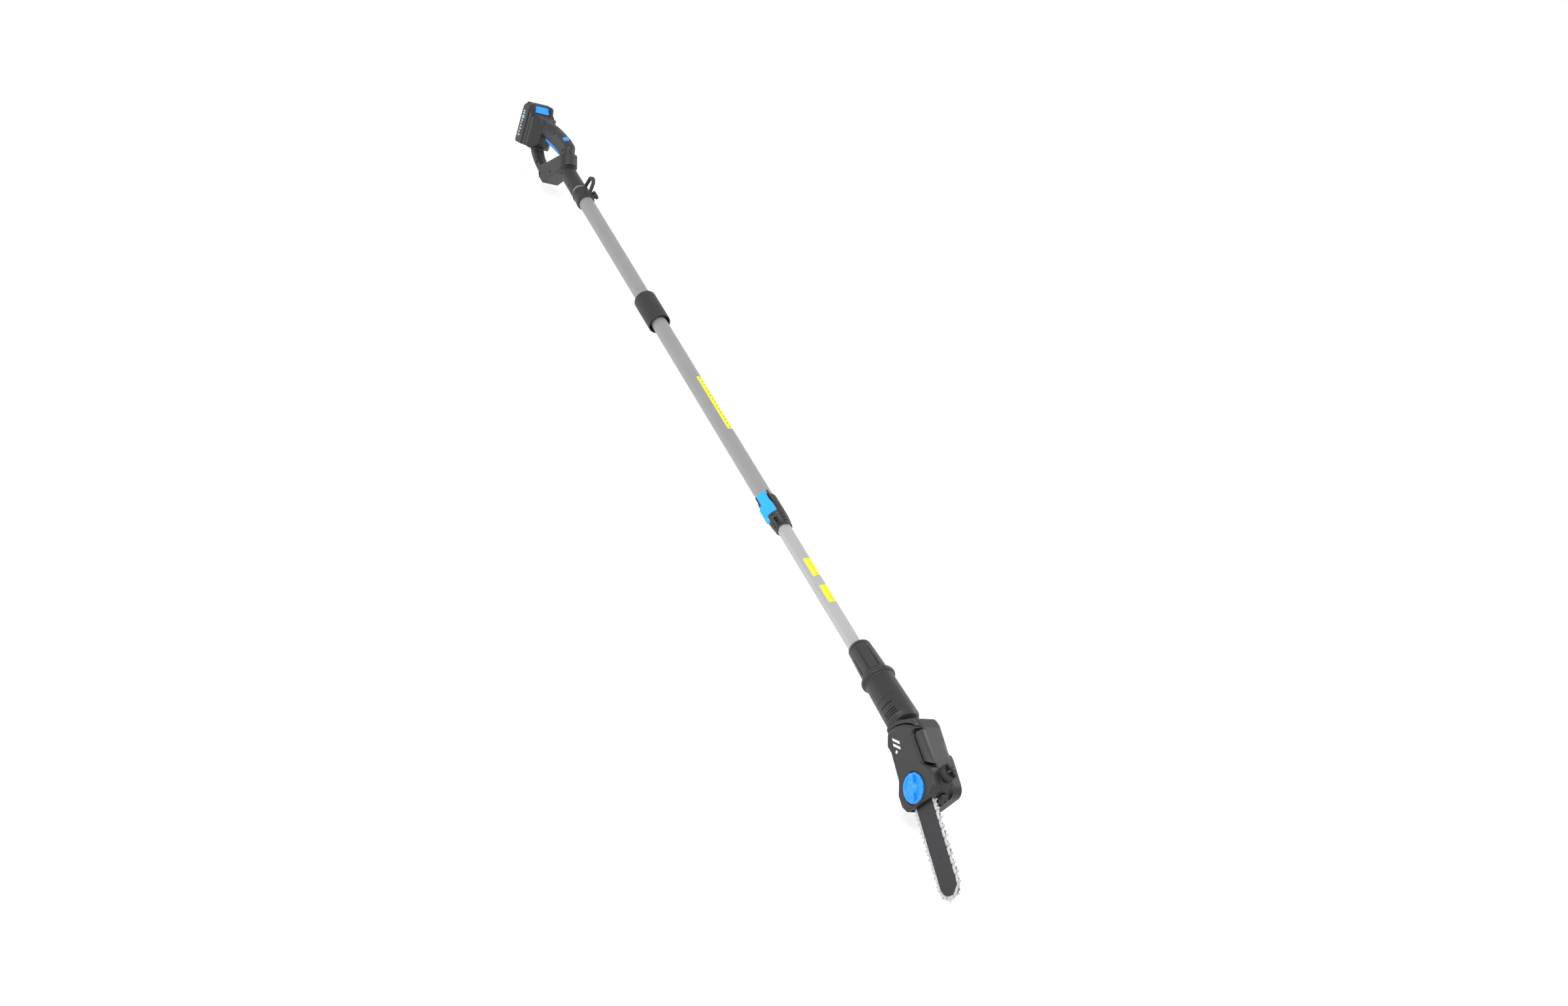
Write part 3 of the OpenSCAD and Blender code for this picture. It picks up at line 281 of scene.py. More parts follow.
    def combine(self, other: "Form", way: str) -> "Form":
        """Boolean of this form with another: way is DIFFERENCE, INTERSECT or UNION."""
        def setup(made: bpy.types.Object) -> list[bpy.types.Object]:
            tool = other._object("tool")
            step = made.modifiers.new("boolean", "BOOLEAN")
            step.operation, step.object, step.solver = way, tool, "FAST"
            return [tool]
        return self._modified(setup)

    def cut(self, *others: "Form") -> "Form":
        """Cuts other forms out of this one, one after another."""
        for other in others:
            self.combine(other, "DIFFERENCE")
        return self

    def common(self, other: "Form") -> "Form":
        """Keeps what this form shares with another."""
        return self.combine(other, "INTERSECT")

    def melt(self, voxel: float = 1.1, passes: int = 4) -> "Form":
        """Fuses overlapping shells into one moulding with softened edges.

        Args:
            voxel: size of the grid that the shape is rebuilt on.
            passes: smoothing passes, each of which softens the edges a little more.

        Returns:
            This form.
        """
        def setup(made: bpy.types.Object) -> list[bpy.types.Object]:
            step = made.modifiers.new("remesh", "REMESH")
            step.mode, step.voxel_size, step.adaptivity = "VOXEL", voxel, 0.0
            return []
        self._modified(setup)
        for _ in range(passes):
            bmesh.ops.smooth_vert(self.bm, verts=self.bm.verts, factor=0.5, use_axis_x=True,
                                  use_axis_y=True, use_axis_z=True)
        return self

    def sculpt(self, push: Callable[[Vector, Vector], float]) -> "Form":
        """Moves each vertex along its normal by push(place, normal)."""
        self.bm.normal_update()
        moves = [(v, v.normal * push(v.co, v.normal)) for v in self.bm.verts]
        for v, by in moves:
            v.co += by
        return self

    def keep(self, point: Point3, normal: Point3) -> "Form":
        """Keeps the side of a plane that normal points away from, and closes the cut."""
        bm = self.bm
        found = bmesh.ops.bisect_plane(bm, geom=bm.verts[:] + bm.edges[:] + bm.faces[:], dist=1e-5,
                                       plane_co=point, plane_no=normal, clear_outer=True)
        edges = [e for e in found["geom_cut"] if isinstance(e, bmesh.types.BMEdge) and e.is_boundary]
        bmesh.ops.triangle_fill(bm, edges=edges, use_beauty=True, normal=normal)
        bmesh.ops.recalc_face_normals(bm, faces=bm.faces)
        return self

    def ring(self, count: int, axis: str, at: Point3 = (0, 0, 0)) -> "Form":
        """Repeats the form count times round an axis."""
        one = self.copy()
        for k in range(1, count):
            self.add(one.copy().turn(360 * k / count, axis, at))
        return self

    def flipped(self, axis: str) -> "Form":
        """A mirrored copy across the plane of the named axis."""
        scale = {"X": (-1, 1, 1), "Y": (1, -1, 1), "Z": (1, 1, -1)}[axis]
        return self.copy().move(Matrix.Diagonal((*scale, 1)))


def arc(centre: Point2, radius: float, start: float, end: float, count: int = 10) -> list[Point2]:
    """Points on an arc, with angles in degrees from the first axis."""
    steps = [math.radians(start + (end - start) * i / count) for i in range(count + 1)]
    return [(centre[0] + radius * math.cos(a), centre[1] + radius * math.sin(a)) for a in steps]


def inset_outline(outline: Sequence[Point2], by: float) -> list[Point2]:
    """Moves every side of a closed outline inwards by a distance.

    Args:
        outline: corners in order, either way round.
        by: distance.

    Returns:
        As many corners as before.
    """
    area = sum(a[0] * b[1] - b[0] * a[1] for a, b in zip(outline, [*outline[1:], outline[0]]))
    hand = 1 if area > 0 else -1
    made = []
    for k, (x, z) in enumerate(outline):
        before, after = Vector(outline[k - 1]), Vector(outline[(k + 1) % len(outline)])
        here = Vector((x, z))
        one, two = (here - before).normalized(), (after - here).normalized()
        normals = [Vector((-d.y, d.x)) * hand for d in (one, two)]
        mitre = normals[0] + normals[1]
        share = max(0.35, mitre.length_squared / 2)
        moved = here + mitre * (by / share)
        made.append((moved.x, moved.y))
    return made


def finish(form: Form, name: str, body: str, look: "Finish",
           place: Matrix | None = None, replaces: Sequence[str] = (),
           smooth: float = 35.0) -> bpy.types.Object:
    """Turns a form into a piece of the object.

    Args:
        form: the shape, in millimetres, in its sub-assembly's frame.
        name: the piece's name.
        body: the CAD body that it rides on.
        look: its finish.
        place: the sub-assembly's frame, in millimetres.
        replaces: CAD nodes that the piece stands for.
        smooth: edges flatter than this many degrees are shaded smooth.

    Returns:
        The finished object, at the origin.
    """
    form.move(Matrix.Scale(MM, 4) @ (place or Matrix.Identity(4)))
    bmesh.ops.remove_doubles(form.bm, verts=form.bm.verts, dist=2e-6)
    mesh = bpy.data.meshes.new(name)
    form.bm.to_mesh(mesh)
    form.bm.free()
    mesh.polygons.foreach_set("use_smooth", [True] * len(mesh.polygons))
    mesh.set_sharp_from_angle(angle=math.radians(smooth))
    mesh.materials.append(look.material())
    piece = bpy.data.objects.new(name, mesh)
    bpy.context.scene.collection.objects.link(piece)
    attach(piece, body)
    if replaces:
        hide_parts(*replaces)
    LOG.info("%s: %d faces", name, len(mesh.polygons))
    return piece


def dress(look: "Finish", *nodes: str) -> None:
    """Gives CAD nodes a finish."""
    material = look.material()
    for node in nodes:
        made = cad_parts[node]
        if not made.material_slots:
            made.data.materials.append(material)
        for place in made.material_slots:
            place.material = material


# ------------------------------------------------------------------ finishes
def linear(value: str) -> tuple[float, float, float, float]:
    """Turns an sRGB hex colour to linear."""
    parts = [int(value[i:i + 2], 16) / 255 for i in (1, 3, 5)]
    return (*[c / 12.92 if c <= 0.04045 else ((c + 0.055) / 1.055) ** 2.4 for c in parts], 1.0)


def add(tree: bpy.types.NodeTree, kind: str, settings: dict | None = None, links: dict | None = None
        ) -> bpy.types.Node:
    """Adds one shader node.

    Args:
        tree: the material's node tree.
        kind: the node's type.
        settings: node attributes by name, or input values by socket name.
        links: output sockets by the name or number of the input that each goes to.

    Returns:
        The node.
    """
    made = tree.nodes.new(kind)
    for key, value in (settings or {}).items():
        if isinstance(key, str) and hasattr(made, key):
            setattr(made, key, value)
        else:
            made.inputs[key].default_value = value
    for key, source in (links or {}).items():
        tree.links.new(source, made.inputs[key])
    return made


@dataclass(frozen=True)
class Finish:
    """What every finish has: a name and a shader."""

    name: str

    def material(self) -> bpy.types.Material:
        """The finish's material, made the first time that it is asked for."""
        return bpy.data.materials.get(self.name) or self.build()

    def build(self) -> bpy.types.Material:
        """Makes the material."""
        raise NotImplementedError

    def begin(self) -> tuple[bpy.types.Material, bpy.types.NodeTree, bpy.types.Node,
                             bpy.types.NodeSocket]:
        """Starts a material, and returns it, its tree, its shader and its object coordinates."""
        made = bpy.data.materials.new(self.name)
        made.use_nodes = True
        tree = made.node_tree
        shader = tree.nodes["Principled BSDF"]
        place = add(tree, "ShaderNodeTexCoord").outputs["Object"]
        return made, tree, shader, place

    def tint(self, tree: bpy.types.NodeTree, pattern: bpy.types.NodeSocket, colour: str,
             dark: float, light: float) -> bpy.types.NodeSocket:
        """Mottles a colour.

        Args:
            tree: the material's node tree.
            pattern: what the mottle follows, from 0 to 1.
            colour: sRGB hex colour.
            dark: share of the colour where the pattern is 0.
            light: share of the colour where the pattern is 1.

        Returns:
            The mottled colour.
        """
        base = linear(colour)[:3]
        shade = add(tree, "ShaderNodeMix", {"data_type": "RGBA"}, {"Factor": pattern})
        shade.inputs[MIX_A].default_value = (*[c * dark for c in base], 1)
        shade.inputs[MIX_B].default_value = (*[min(1, c * light) for c in base], 1)
        return shade.outputs[MIX_RESULT]

    def gloss(self, tree: bpy.types.NodeTree, shader: bpy.types.Node, pattern: bpy.types.NodeSocket,
              low: float, high: float) -> None:
        """Varies the roughness with a pattern, from low to high."""
        spread = add(tree, "ShaderNodeMapRange", {"To Min": low, "To Max": high}, {"Value": pattern})
        tree.links.new(spread.outputs["Result"], shader.inputs["Roughness"])

    def relief(self, tree: bpy.types.NodeTree, shader: bpy.types.Node, pattern: bpy.types.NodeSocket,
               strength: float, height: float) -> None:
        """Raises a pattern off the surface by a height in millimetres."""
        bump = add(tree, "ShaderNodeBump", {"Strength": strength, "Distance": height * MM},
                   {"Height": pattern})
        tree.links.new(bump.outputs["Normal"], shader.inputs["Normal"])


@dataclass(frozen=True)
class Moulded(Finish):
    """Injection-moulded nylon or ABS: a spark-eroded mould leaves a fine even grain.

    The eye sees soft broad highlights, a faint mottle and lighter rubbed edges.
    """

    colour: str
    rough: float = 0.5
    grain: float = 0.9      # mm between grains, coarser than the real 0.2 so that it shows
    depth: float = 0.25
    wear: str = "#8c8c8c"

    def build(self) -> bpy.types.Material:
        """Makes the material."""
        made, tree, shader, place = self.begin()
        grain = add(tree, "ShaderNodeTexNoise",
                    {"Scale": 1 / (self.grain * MM), "Detail": 2.0, "Roughness": 0.6}, {"Vector": place})
        mottle = add(tree, "ShaderNodeTexNoise", {"Scale": 38.0, "Detail": 3.0},
                     {"Vector": place}).outputs["Fac"]
        edge = add(tree, "ShaderNodeNewGeometry")
        worn = add(tree, "ShaderNodeMapRange", {"From Min": 0.53, "From Max": 0.62, "To Max": 0.3},
                   {"Value": edge.outputs["Pointiness"]})
        rubbed = add(tree, "ShaderNodeMix", {"data_type": "RGBA", MIX_B: linear(self.wear)},
                     {"Factor": worn.outputs["Result"],
                      MIX_A: self.tint(tree, mottle, self.colour, 0.93, 1.07)})
        tree.links.new(rubbed.outputs[MIX_RESULT], shader.inputs["Base Color"])
        shader.inputs["IOR"].default_value = 1.5
        self.gloss(tree, shader, mottle, self.rough - 0.05, self.rough + 0.06)
        self.relief(tree, shader, grain.outputs["Fac"], self.depth, 0.12)
        return made


class Lay(Enum):
    """Which way the marks of a metal's finishing run."""

    ALONG_POLE = (0.02, 1.0, 1.0)
    ALL_WAYS = (1.0, 1.0, 1.0)


@dataclass(frozen=True)
class Metal(Finish):
    """Drawn, ground or plated metal, whose fine marks run one way or every way.

    The eye sees a stretched sheen along a tube and small glints on the steel parts.
    """

    colour: str
    rough: float = 0.35
    metallic: float = 1.0
    lay: Lay = Lay.ALL_WAYS
    marks: float = 1.2      # mm between marks
    depth: float = 0.15

    def build(self) -> bpy.types.Material:
        """Makes the material."""
        made, tree, shader, place = self.begin()
        run = add(tree, "ShaderNodeMapping", {"Scale": self.lay.value}, {"Vector": place})
        lines = add(tree, "ShaderNodeTexNoise", {"Scale": 1 / (self.marks * MM), "Detail": 3.0},
                    {"Vector": run.outputs["Vector"]}).outputs["Fac"]
        cloud = add(tree, "ShaderNodeTexNoise", {"Scale": 14.0, "Detail": 2.0}, {"Vector": place})
        tree.links.new(self.tint(tree, cloud.outputs["Fac"], self.colour, 0.94, 1.05),
                       shader.inputs["Base Color"])
        shader.inputs["Metallic"].default_value = self.metallic
        self.gloss(tree, shader, lines, self.rough - 0.06, self.rough + 0.08)
        self.relief(tree, shader, lines, self.depth, 0.05)
        return made


@dataclass(frozen=True)
class Foam(Finish):
    """Closed-cell EVA foam and soft rubber: pores scatter the light, so it is dull all over."""

    colour: str
    pores: float = 1.6      # mm between pores, coarser than the real 0.4 so that they show
    depth: float = 0.5

    def build(self) -> bpy.types.Material:
        """Makes the material."""
        made, tree, shader, place = self.begin()
        cells = add(tree, "ShaderNodeTexVoronoi", {"Scale": 1 / (self.pores * MM)}, {"Vector": place})
        cloud = add(tree, "ShaderNodeTexNoise", {"Scale": 60.0, "Detail": 4.0}, {"Vector": place})
        tree.links.new(self.tint(tree, cloud.outputs["Fac"], self.colour, 0.85, 1.15),
                       shader.inputs["Base Color"])
        shader.inputs["Roughness"].default_value = 0.58
        self.relief(tree, shader, cells.outputs["Distance"], self.depth, 0.2)
        return made


@dataclass(frozen=True)
class Film(Finish):
    """Printed vinyl film with a row of plain tick marks along X, like a scale.

    The eye sees a bright flat colour under a thin clear gloss.
    """

    colour: str
    ink: str
    pitch: float = 9.0      # mm between ticks
    start: float = 0.0      # mm along X where the first tick stands
    tick: float = 0.12      # share of the pitch that is inked
    band: Point2 = (-2.0, 6.0)   # mm across, where the ticks start and end
    across: Point2 = (1.0, 0.0)  # direction in (y, z) that the band is measured along

    def build(self) -> bpy.types.Material:
        """Makes the material."""
        made, tree, shader, place = self.begin()
        split = add(tree, "ShaderNodeSeparateXYZ", {}, {"Vector": place})
        along = add(tree, "ShaderNodeMath", {"operation": "MULTIPLY_ADD", 1: 1 / (self.pitch * MM),
                                             2: -self.start / self.pitch}, {0: split.outputs["X"]})
        part = add(tree, "ShaderNodeMath", {"operation": "FRACT"}, {0: along.outputs[0]})
        side = add(tree, "ShaderNodeVectorMath", {"operation": "DOT_PRODUCT"}, {0: place})
        side.inputs[1].default_value = (0, self.across[0] / MM, self.across[1] / MM)
        mark = add(tree, "ShaderNodeMath", {"operation": "LESS_THAN", 1: self.tick}, {0: part.outputs[0]})
        for test, limit in zip(("GREATER_THAN", "LESS_THAN"), self.band):
            bound = add(tree, "ShaderNodeMath", {"operation": test, 1: limit}, {0: side.outputs["Value"]})
            mark = add(tree, "ShaderNodeMath", {"operation": "MULTIPLY"},
                       {0: mark.outputs[0], 1: bound.outputs[0]})
        printed = add(tree, "ShaderNodeMix", {"data_type": "RGBA", MIX_A: linear(self.colour),
                                              MIX_B: linear(self.ink)}, {"Factor": mark.outputs[0]})
        tree.links.new(printed.outputs[MIX_RESULT], shader.inputs["Base Color"])
        mottle = add(tree, "ShaderNodeTexNoise", {"Scale": 90.0, "Detail": 2.0}, {"Vector": place})
        self.gloss(tree, shader, mottle.outputs["Fac"], 0.3, 0.42)
        return made


# ------------------------------------------------------------------ finishes of this saw
# Glass-filled nylon, moulded and spark-eroded: charcoal, soft wide highlights
NYLON = Moulded("nylon_charcoal_moulded", "#202022", rough=0.46)
# The same nylon with a finer, slightly shinier mould face, on collars and clamps
NYLON_FINE = Moulded("nylon_charcoal_fine", "#1e1e20", rough=0.43, grain=0.7, depth=0.18)
# Unpainted black nylon of small inner and trim parts; on the lock's cam the same black is painted shade,
# where the real cam is the lever's blue
NYLON_BLACK = Moulded("nylon_black_moulded", "#1c1c1d", rough=0.5, wear="#4a4a4a")
# ABS in the maker's blue, moulded with a satin face
ABS_BLUE = Moulded("abs_blue_moulded", "#1c90f6", rough=0.36, grain=0.8, depth=0.12, wear="#7fc0ff")
# Acetal lever in a lighter blue, moulded smooth
ACETAL_SKY = Moulded("acetal_sky_moulded", "#22a4f5", rough=0.34, grain=0.8, depth=0.12, wear="#9bdcff")
# Translucent polyethylene oil tank, blow moulded
PE_TANK = Moulded("polyethylene_tank_blown", "#dcdccd", rough=0.42, wear="#f0f0e8")
# Shrink-wrapped cells and laminated boards, seen only when the pack or a shell is taken away
CELL_WRAP = Moulded("pvc_cell_wrap_shrunk", "#2f8584", rough=0.3, depth=0.08, wear="#60b0b0")
BOARD = Moulded("fibreglass_board_lacquered", "#1d5b34", rough=0.32, depth=0.1, wear="#3c8a58")
# Polycarbonate strip over the charge lights, moulded glossy
PANEL = Moulded("polycarbonate_panel_glossy", "#101114", rough=0.2, depth=0.05, wear="#202226")
PANEL_MARK = Moulded("printed_mark_white", "#e9ecef", rough=0.4, depth=0.05, wear="#ffffff")
PANEL_LIGHT = Moulded("light_guide_blue", "#58c4ff", rough=0.25, depth=0.05, wear="#a0e0ff")
# Printed mark on the cover: pad-printed ink, light grey
INK = Moulded("pad_printed_ink", "#e4e4e4", rough=0.45, depth=0.06, wear="#f2f2f2")
# Soft EVA foam sleeve and rubber pads
EVA = Foam("eva_foam_sleeve", "#242425", depth=0.25)
RUBBER = Foam("rubber_moulded_dull", "#1c1c1d", pores=1.1, depth=0.25)
# Drawn aluminium tube, satin anodised: long stretched sheen
ALU_OUTER = Metal("aluminium_anodised_drawn", "#949495", rough=0.48, metallic=0.35,
                  lay=Lay.ALONG_POLE, marks=0.9)
ALU_INNER = Metal("aluminium_anodised_bright", "#ababac", rough=0.42, metallic=0.35,
                  lay=Lay.ALONG_POLE, marks=0.9)
# Turned and plated steel of screws, pins, shafts and bearings
STEEL = Metal("steel_zinc_plated", "#b4b6b9", rough=0.32)
STEEL_DARK = Metal("steel_blackened", "#3b3c3e", rough=0.42)
# Bar steel under a dark satin paint: less metallic, evenly dull
BAR_PAINT = Metal("bar_steel_painted_satin", "#2c2c2e", rough=0.45, metallic=0.3, marks=1.6)
# Stamped and chromed chain: bright, with many small glints
CHAIN = Metal("chain_steel_chromed", "#c4c4c5", rough=0.42, metallic=0.6)
COPPER = Metal("copper_windings_lacquered", "#9a5a33", rough=0.35)


# ------------------------------------------------------------------ telescoping pole
@dataclass
class Pole:
    """Outer tube with its foam sleeve and label. The frame is the part's own."""

    half: float = 625.0
    radius: float = 17.5
    wall: float = 1.5
    sleeve: Point2 = (-132.0, -36.0)
    sleeve_radius: float = 25.75
    recess: float = 22.0
    label: Point2 = (181.0, 361.0)
    label_half: float = 13.2
    label_turn: float = -29.0

    def tube(self) -> None:
        """Drawn round tube with broken edges."""
        r, w, x = self.radius, self.wall, self.half
        ring = [(-x, r - w + 0.3), (-x, r - 0.3), (-x + 0.3, r), (x - 0.3, r), (x, r - 0.3),
                (x, r - w + 0.3), (x - 0.3, r - w), (-x + 0.3, r - w)]
        finish(Form.lathe(ring, 160), "outer_tube_drawn", "rear_pole", ALU_OUTER,
               replaces=["outer_tube"])

    def foam(self) -> None:
        """Sleeve with soft rims and a deep recess round the tube at its front."""
        a, b = self.sleeve
        r, bore = self.sleeve_radius, self.radius + 0.15
        lip = r - 2.9
        ring = ([(a, bore)] + arc((a + 4.5, r - 4.5), 4.5, 180, 90, 7)
                + arc((b - 2.2, r - 2.2), 2.2, 90, 0, 6)
                + [(b, r - 2.5), (b - 1.0, lip), (b - self.recess, lip), (b - self.recess, bore)])
        finish(Form.lathe(ring, 128), "mid_grip_foam", "rear_pole", EVA,
               replaces=["mid_grip"])

    def sticker(self) -> None:
        """Yellow film wrapped part of the way round the tube."""
        a, b = self.label
        r = self.radius + 0.06
        film = Form.lathe([(a, r), (b, r), (b, r + 0.22), (a, r + 0.22)], 160)
        film.common(Form.block((a - 1, -self.label_half, 2), (b + 1, self.label_half, 30)).turn(
            self.label_turn, "X"))
        side = math.radians(self.label_turn)
        ink = Film("vinyl_label_yellow", "#fbf72a", "#6b6b20", pitch=12.0, start=a + 3, tick=0.45,
                   band=(-9.5, -6.5), across=(math.cos(side), math.sin(side)))
        finish(film, "outer_label_film", "rear_pole", ink, replaces=["outer_label"])

    def build(self) -> None:
        """Makes every piece."""
        self.tube()
        self.foam()
        self.sticker()


@dataclass
class FlipLock:
    """Clamp at the outer tube's mouth. Its frame is turned so that +Z points out through the lever."""

    turn: float = 58.0
    rear: float = 573.0
    mouth: float = 625.0
    nose: float = 640.0
    front: float = 668.0
    radius: float = 21.0
    pivot: Point2 = (644.0, 23.3)
    cheek: float = 20.6

    def place(self) -> Matrix:
        """The lock's frame."""
        return Matrix.Rotation(math.radians(self.turn), 4, "X")

    def barrel(self) -> None:
        """Barrel with a stepped nose, two ribs that carry the pin, and two fins beside the lever."""
        x, z = self.pivot
        step = (self.front - self.nose) / 3
        a0 = self.rear + 3
        ring = [(a0, 17.7), (a0, 18.4), (a0 + 2, 19.8), (a0 + 4, 20.8), (a0 + 7, self.radius),
                (self.nose - 1.6, self.radius), (self.nose - 0.5, 20.6), (self.nose, 19.6)]
        for i in range(3):
            a, r = self.nose + i * step, self.radius - 1.6 - i
            ring += [(a + 0.8, r - 0.2), (a + step - 2.2, r + 0.9), (a + step - 0.9, r + 0.9),
                     (a + step - 0.2, r + 0.2), (a + step, r - 0.8)]
        ring += [(self.front - 0.4, 14.9), (self.mouth + 2, 14.9), (self.mouth, 17.7)]
        body = Form.lathe(ring, 112)
        for low, high in ((-10.6, -3.4), (3.4, 10.6)):
            body.add(Form.rod((x, low, z), (x, high, z), 7.4, edge=1.1, sides=48))
            rib = [(x - 7, 14), (x - 7, z), (x + 3, z + 6.2), (self.front - 3, 16.4),
                   (self.front - 2, 14)]
            body.add(Form.prism(rib, low + 0.2, high - 0.2, rim=1.0, corner=1.6))
        for s in (-14, 14):
            a = self.rear
            fin = [(a - 2, 11), (a - 2, 20.5), (a, 22), (a + 25, 22), (a + 34, 16), (a + 34, 11)]
            body.add(Form.prism(fin, s - 1.5, s + 1.5, rim=0.7, corner=1.2))
        finish(body, "lock_body_moulded", "rear_pole", NYLON_FINE, self.place(),
               ["lock_body"])

    def lever(self) -> None:
        """Flip lever: a plate with a flared cheek that ends in a round knuckle."""
        x, z = self.pivot
        back = self.rear
        outline = [(back, -11.6), (back, 9.8), (back + 24, 9.4), (back + 39, 11.4), (x - 10.5, 11.4),
                   (x - 10.5, -11.2), (x, -11.2), (x, -self.cheek), (back + 37, -self.cheek),
                   (back + 28, -11.8)]
        plate = Form.plate(outline, 21.9, 25.5, rim=1.1, corner=2.2)
        knuckle = Form.rod((x, -self.cheek, z), (x, -11.2, z), 5.7, edge=0.9, sides=48)
        plate.add(knuckle.cut(Form.rod((x, -30, z), (x, -9, z), 2.56, sides=32)))
        finish(plate, "lock_lever_moulded", "lock_lever", ACETAL_SKY, self.place(),
               ["lock_lever"])
        # The cam is really part of the sky-blue lever; it is coloured black here as painted shade, for the
        # shadow that falls between the lever's knuckles.
        cam = Form.rod((x, -2.3, z - 1), (x, 2.3, z - 1), 4.9, edge=0.4, sides=40)
        cam.add(Form.prism([(x - 12, 22.2), (x - 12, 25.3), (x, z + 3.4), (x, z)], -2.3, 2.3, rim=0.4))
        finish(cam, "lock_cam_painted_shade", "lock_lever", NYLON_BLACK, self.place())

    def build(self) -> None:
        """Makes every piece."""
        self.barrel()
        self.lever()
        dress(STEEL, "lock_pin")
        dress(RUBBER, "lock_pad")


@dataclass
class StrapClamp:
    """Split band with an upright eye for a shoulder strap and a wing screw."""

    rear: float = -569.0
    front: float = -525.0
    radius: float = 21.0
    eye: Point2 = (-546.0, 45.5)
    eye_radius: float = 14.5
    eye_bar: float = 6.5
    screw_turn: float = 42.0
    screw_x: float = -537.0
    screw_rise: float = 7.6

    def eye_outline(self, inner: bool) -> list[Point2]:
        """Outline of the eye, or of the gap in it."""
        x, z = self.eye
        r = self.eye_radius - (self.eye_bar if inner else 0)
        foot = 19.0 - (self.eye_bar if inner else 0)
        base = self.radius + (4.5 if inner else -3)
        return [(x - foot, base)] + arc((x, z), r, 180, 0, 20) + [(x + foot, base)]

    def band(self) -> None:
        """Band, ribs, lug and eye as one soft-edged moulding."""
        a, b, r = self.rear, self.front, self.radius
        ring = [(a, 17.7), (a, r - 1), (a + 1, r), (a + 6, r), (a + 7, r + 0.9), (a + 10, r + 0.9),
                (a + 11, r), (b - 11, r), (b - 10, r + 0.9), (b - 7, r + 0.9), (b - 6, r), (b - 1, r),
                (b, r - 1), (b, 17.7)]
        form = Form.lathe(ring, 96)
        eye = Form.prism(self.eye_outline(False), -4.0, 4.0)
        eye.cut(Form.prism(self.eye_outline(True), -9, 9))
        eye.bevel(lambda e: all(abs(abs(v.co.y) - 4) < 1e-4 for v in e.verts), 2.2, 3)
        form.add(eye)
        x = self.screw_x
        form.add(Form.block((x - 7, -6, r - 3), (x + 7, 6, r + 12), 1.6).turn(-self.screw_turn, "X"))
        form.melt(0.8, 2)
        slit = Form.block((a - 2, -0.8, 19), (b + 2, 0.8, r + 20)).turn(-self.screw_turn, "X")
        form.cut(Form.rod((a - 3, 0, 0), (b + 3, 0, 0), 17.62, sides=96)).cut(slit)
        form.keep((x, 0, -60), (0, 0, -1))
        finish(form, "strap_clamp_moulded", "rear_pole", NYLON_FINE,
               replaces=["strap_clamp"])

    def screw(self) -> None:
        """Wing screw across the band's lug."""
        x, z = self.screw_x, self.radius + self.screw_rise
        form = Form.rod((x, -9, z), (x, 6.4, z), 2.0, sides=24)
        form.add(Form.rod((x, 6.4, z), (x, 12, z), 4.6, edge=0.8),
                 Form.rod((x, -9.2, z), (x, -6.4, z), 3.6, sides=6))
        form.add(Form.prism([(x - 6.6, z - 2.5), (x - 6.6, z + 2.5), (x, z + 1.6), (x + 6.6, z + 2.5),
                             (x + 6.6, z - 2.5), (x, z - 1.6)], 7.4, 10.6, rim=0.7, corner=0.9))
        finish(form, "strap_clamp_wing", "clamp_wing", NYLON_BLACK,
               Matrix.Rotation(math.radians(-self.screw_turn), 4, "X"), ["strap_clamp_screw"])

    def build(self) -> None:
        """Makes every piece."""
        self.band()
        self.screw()


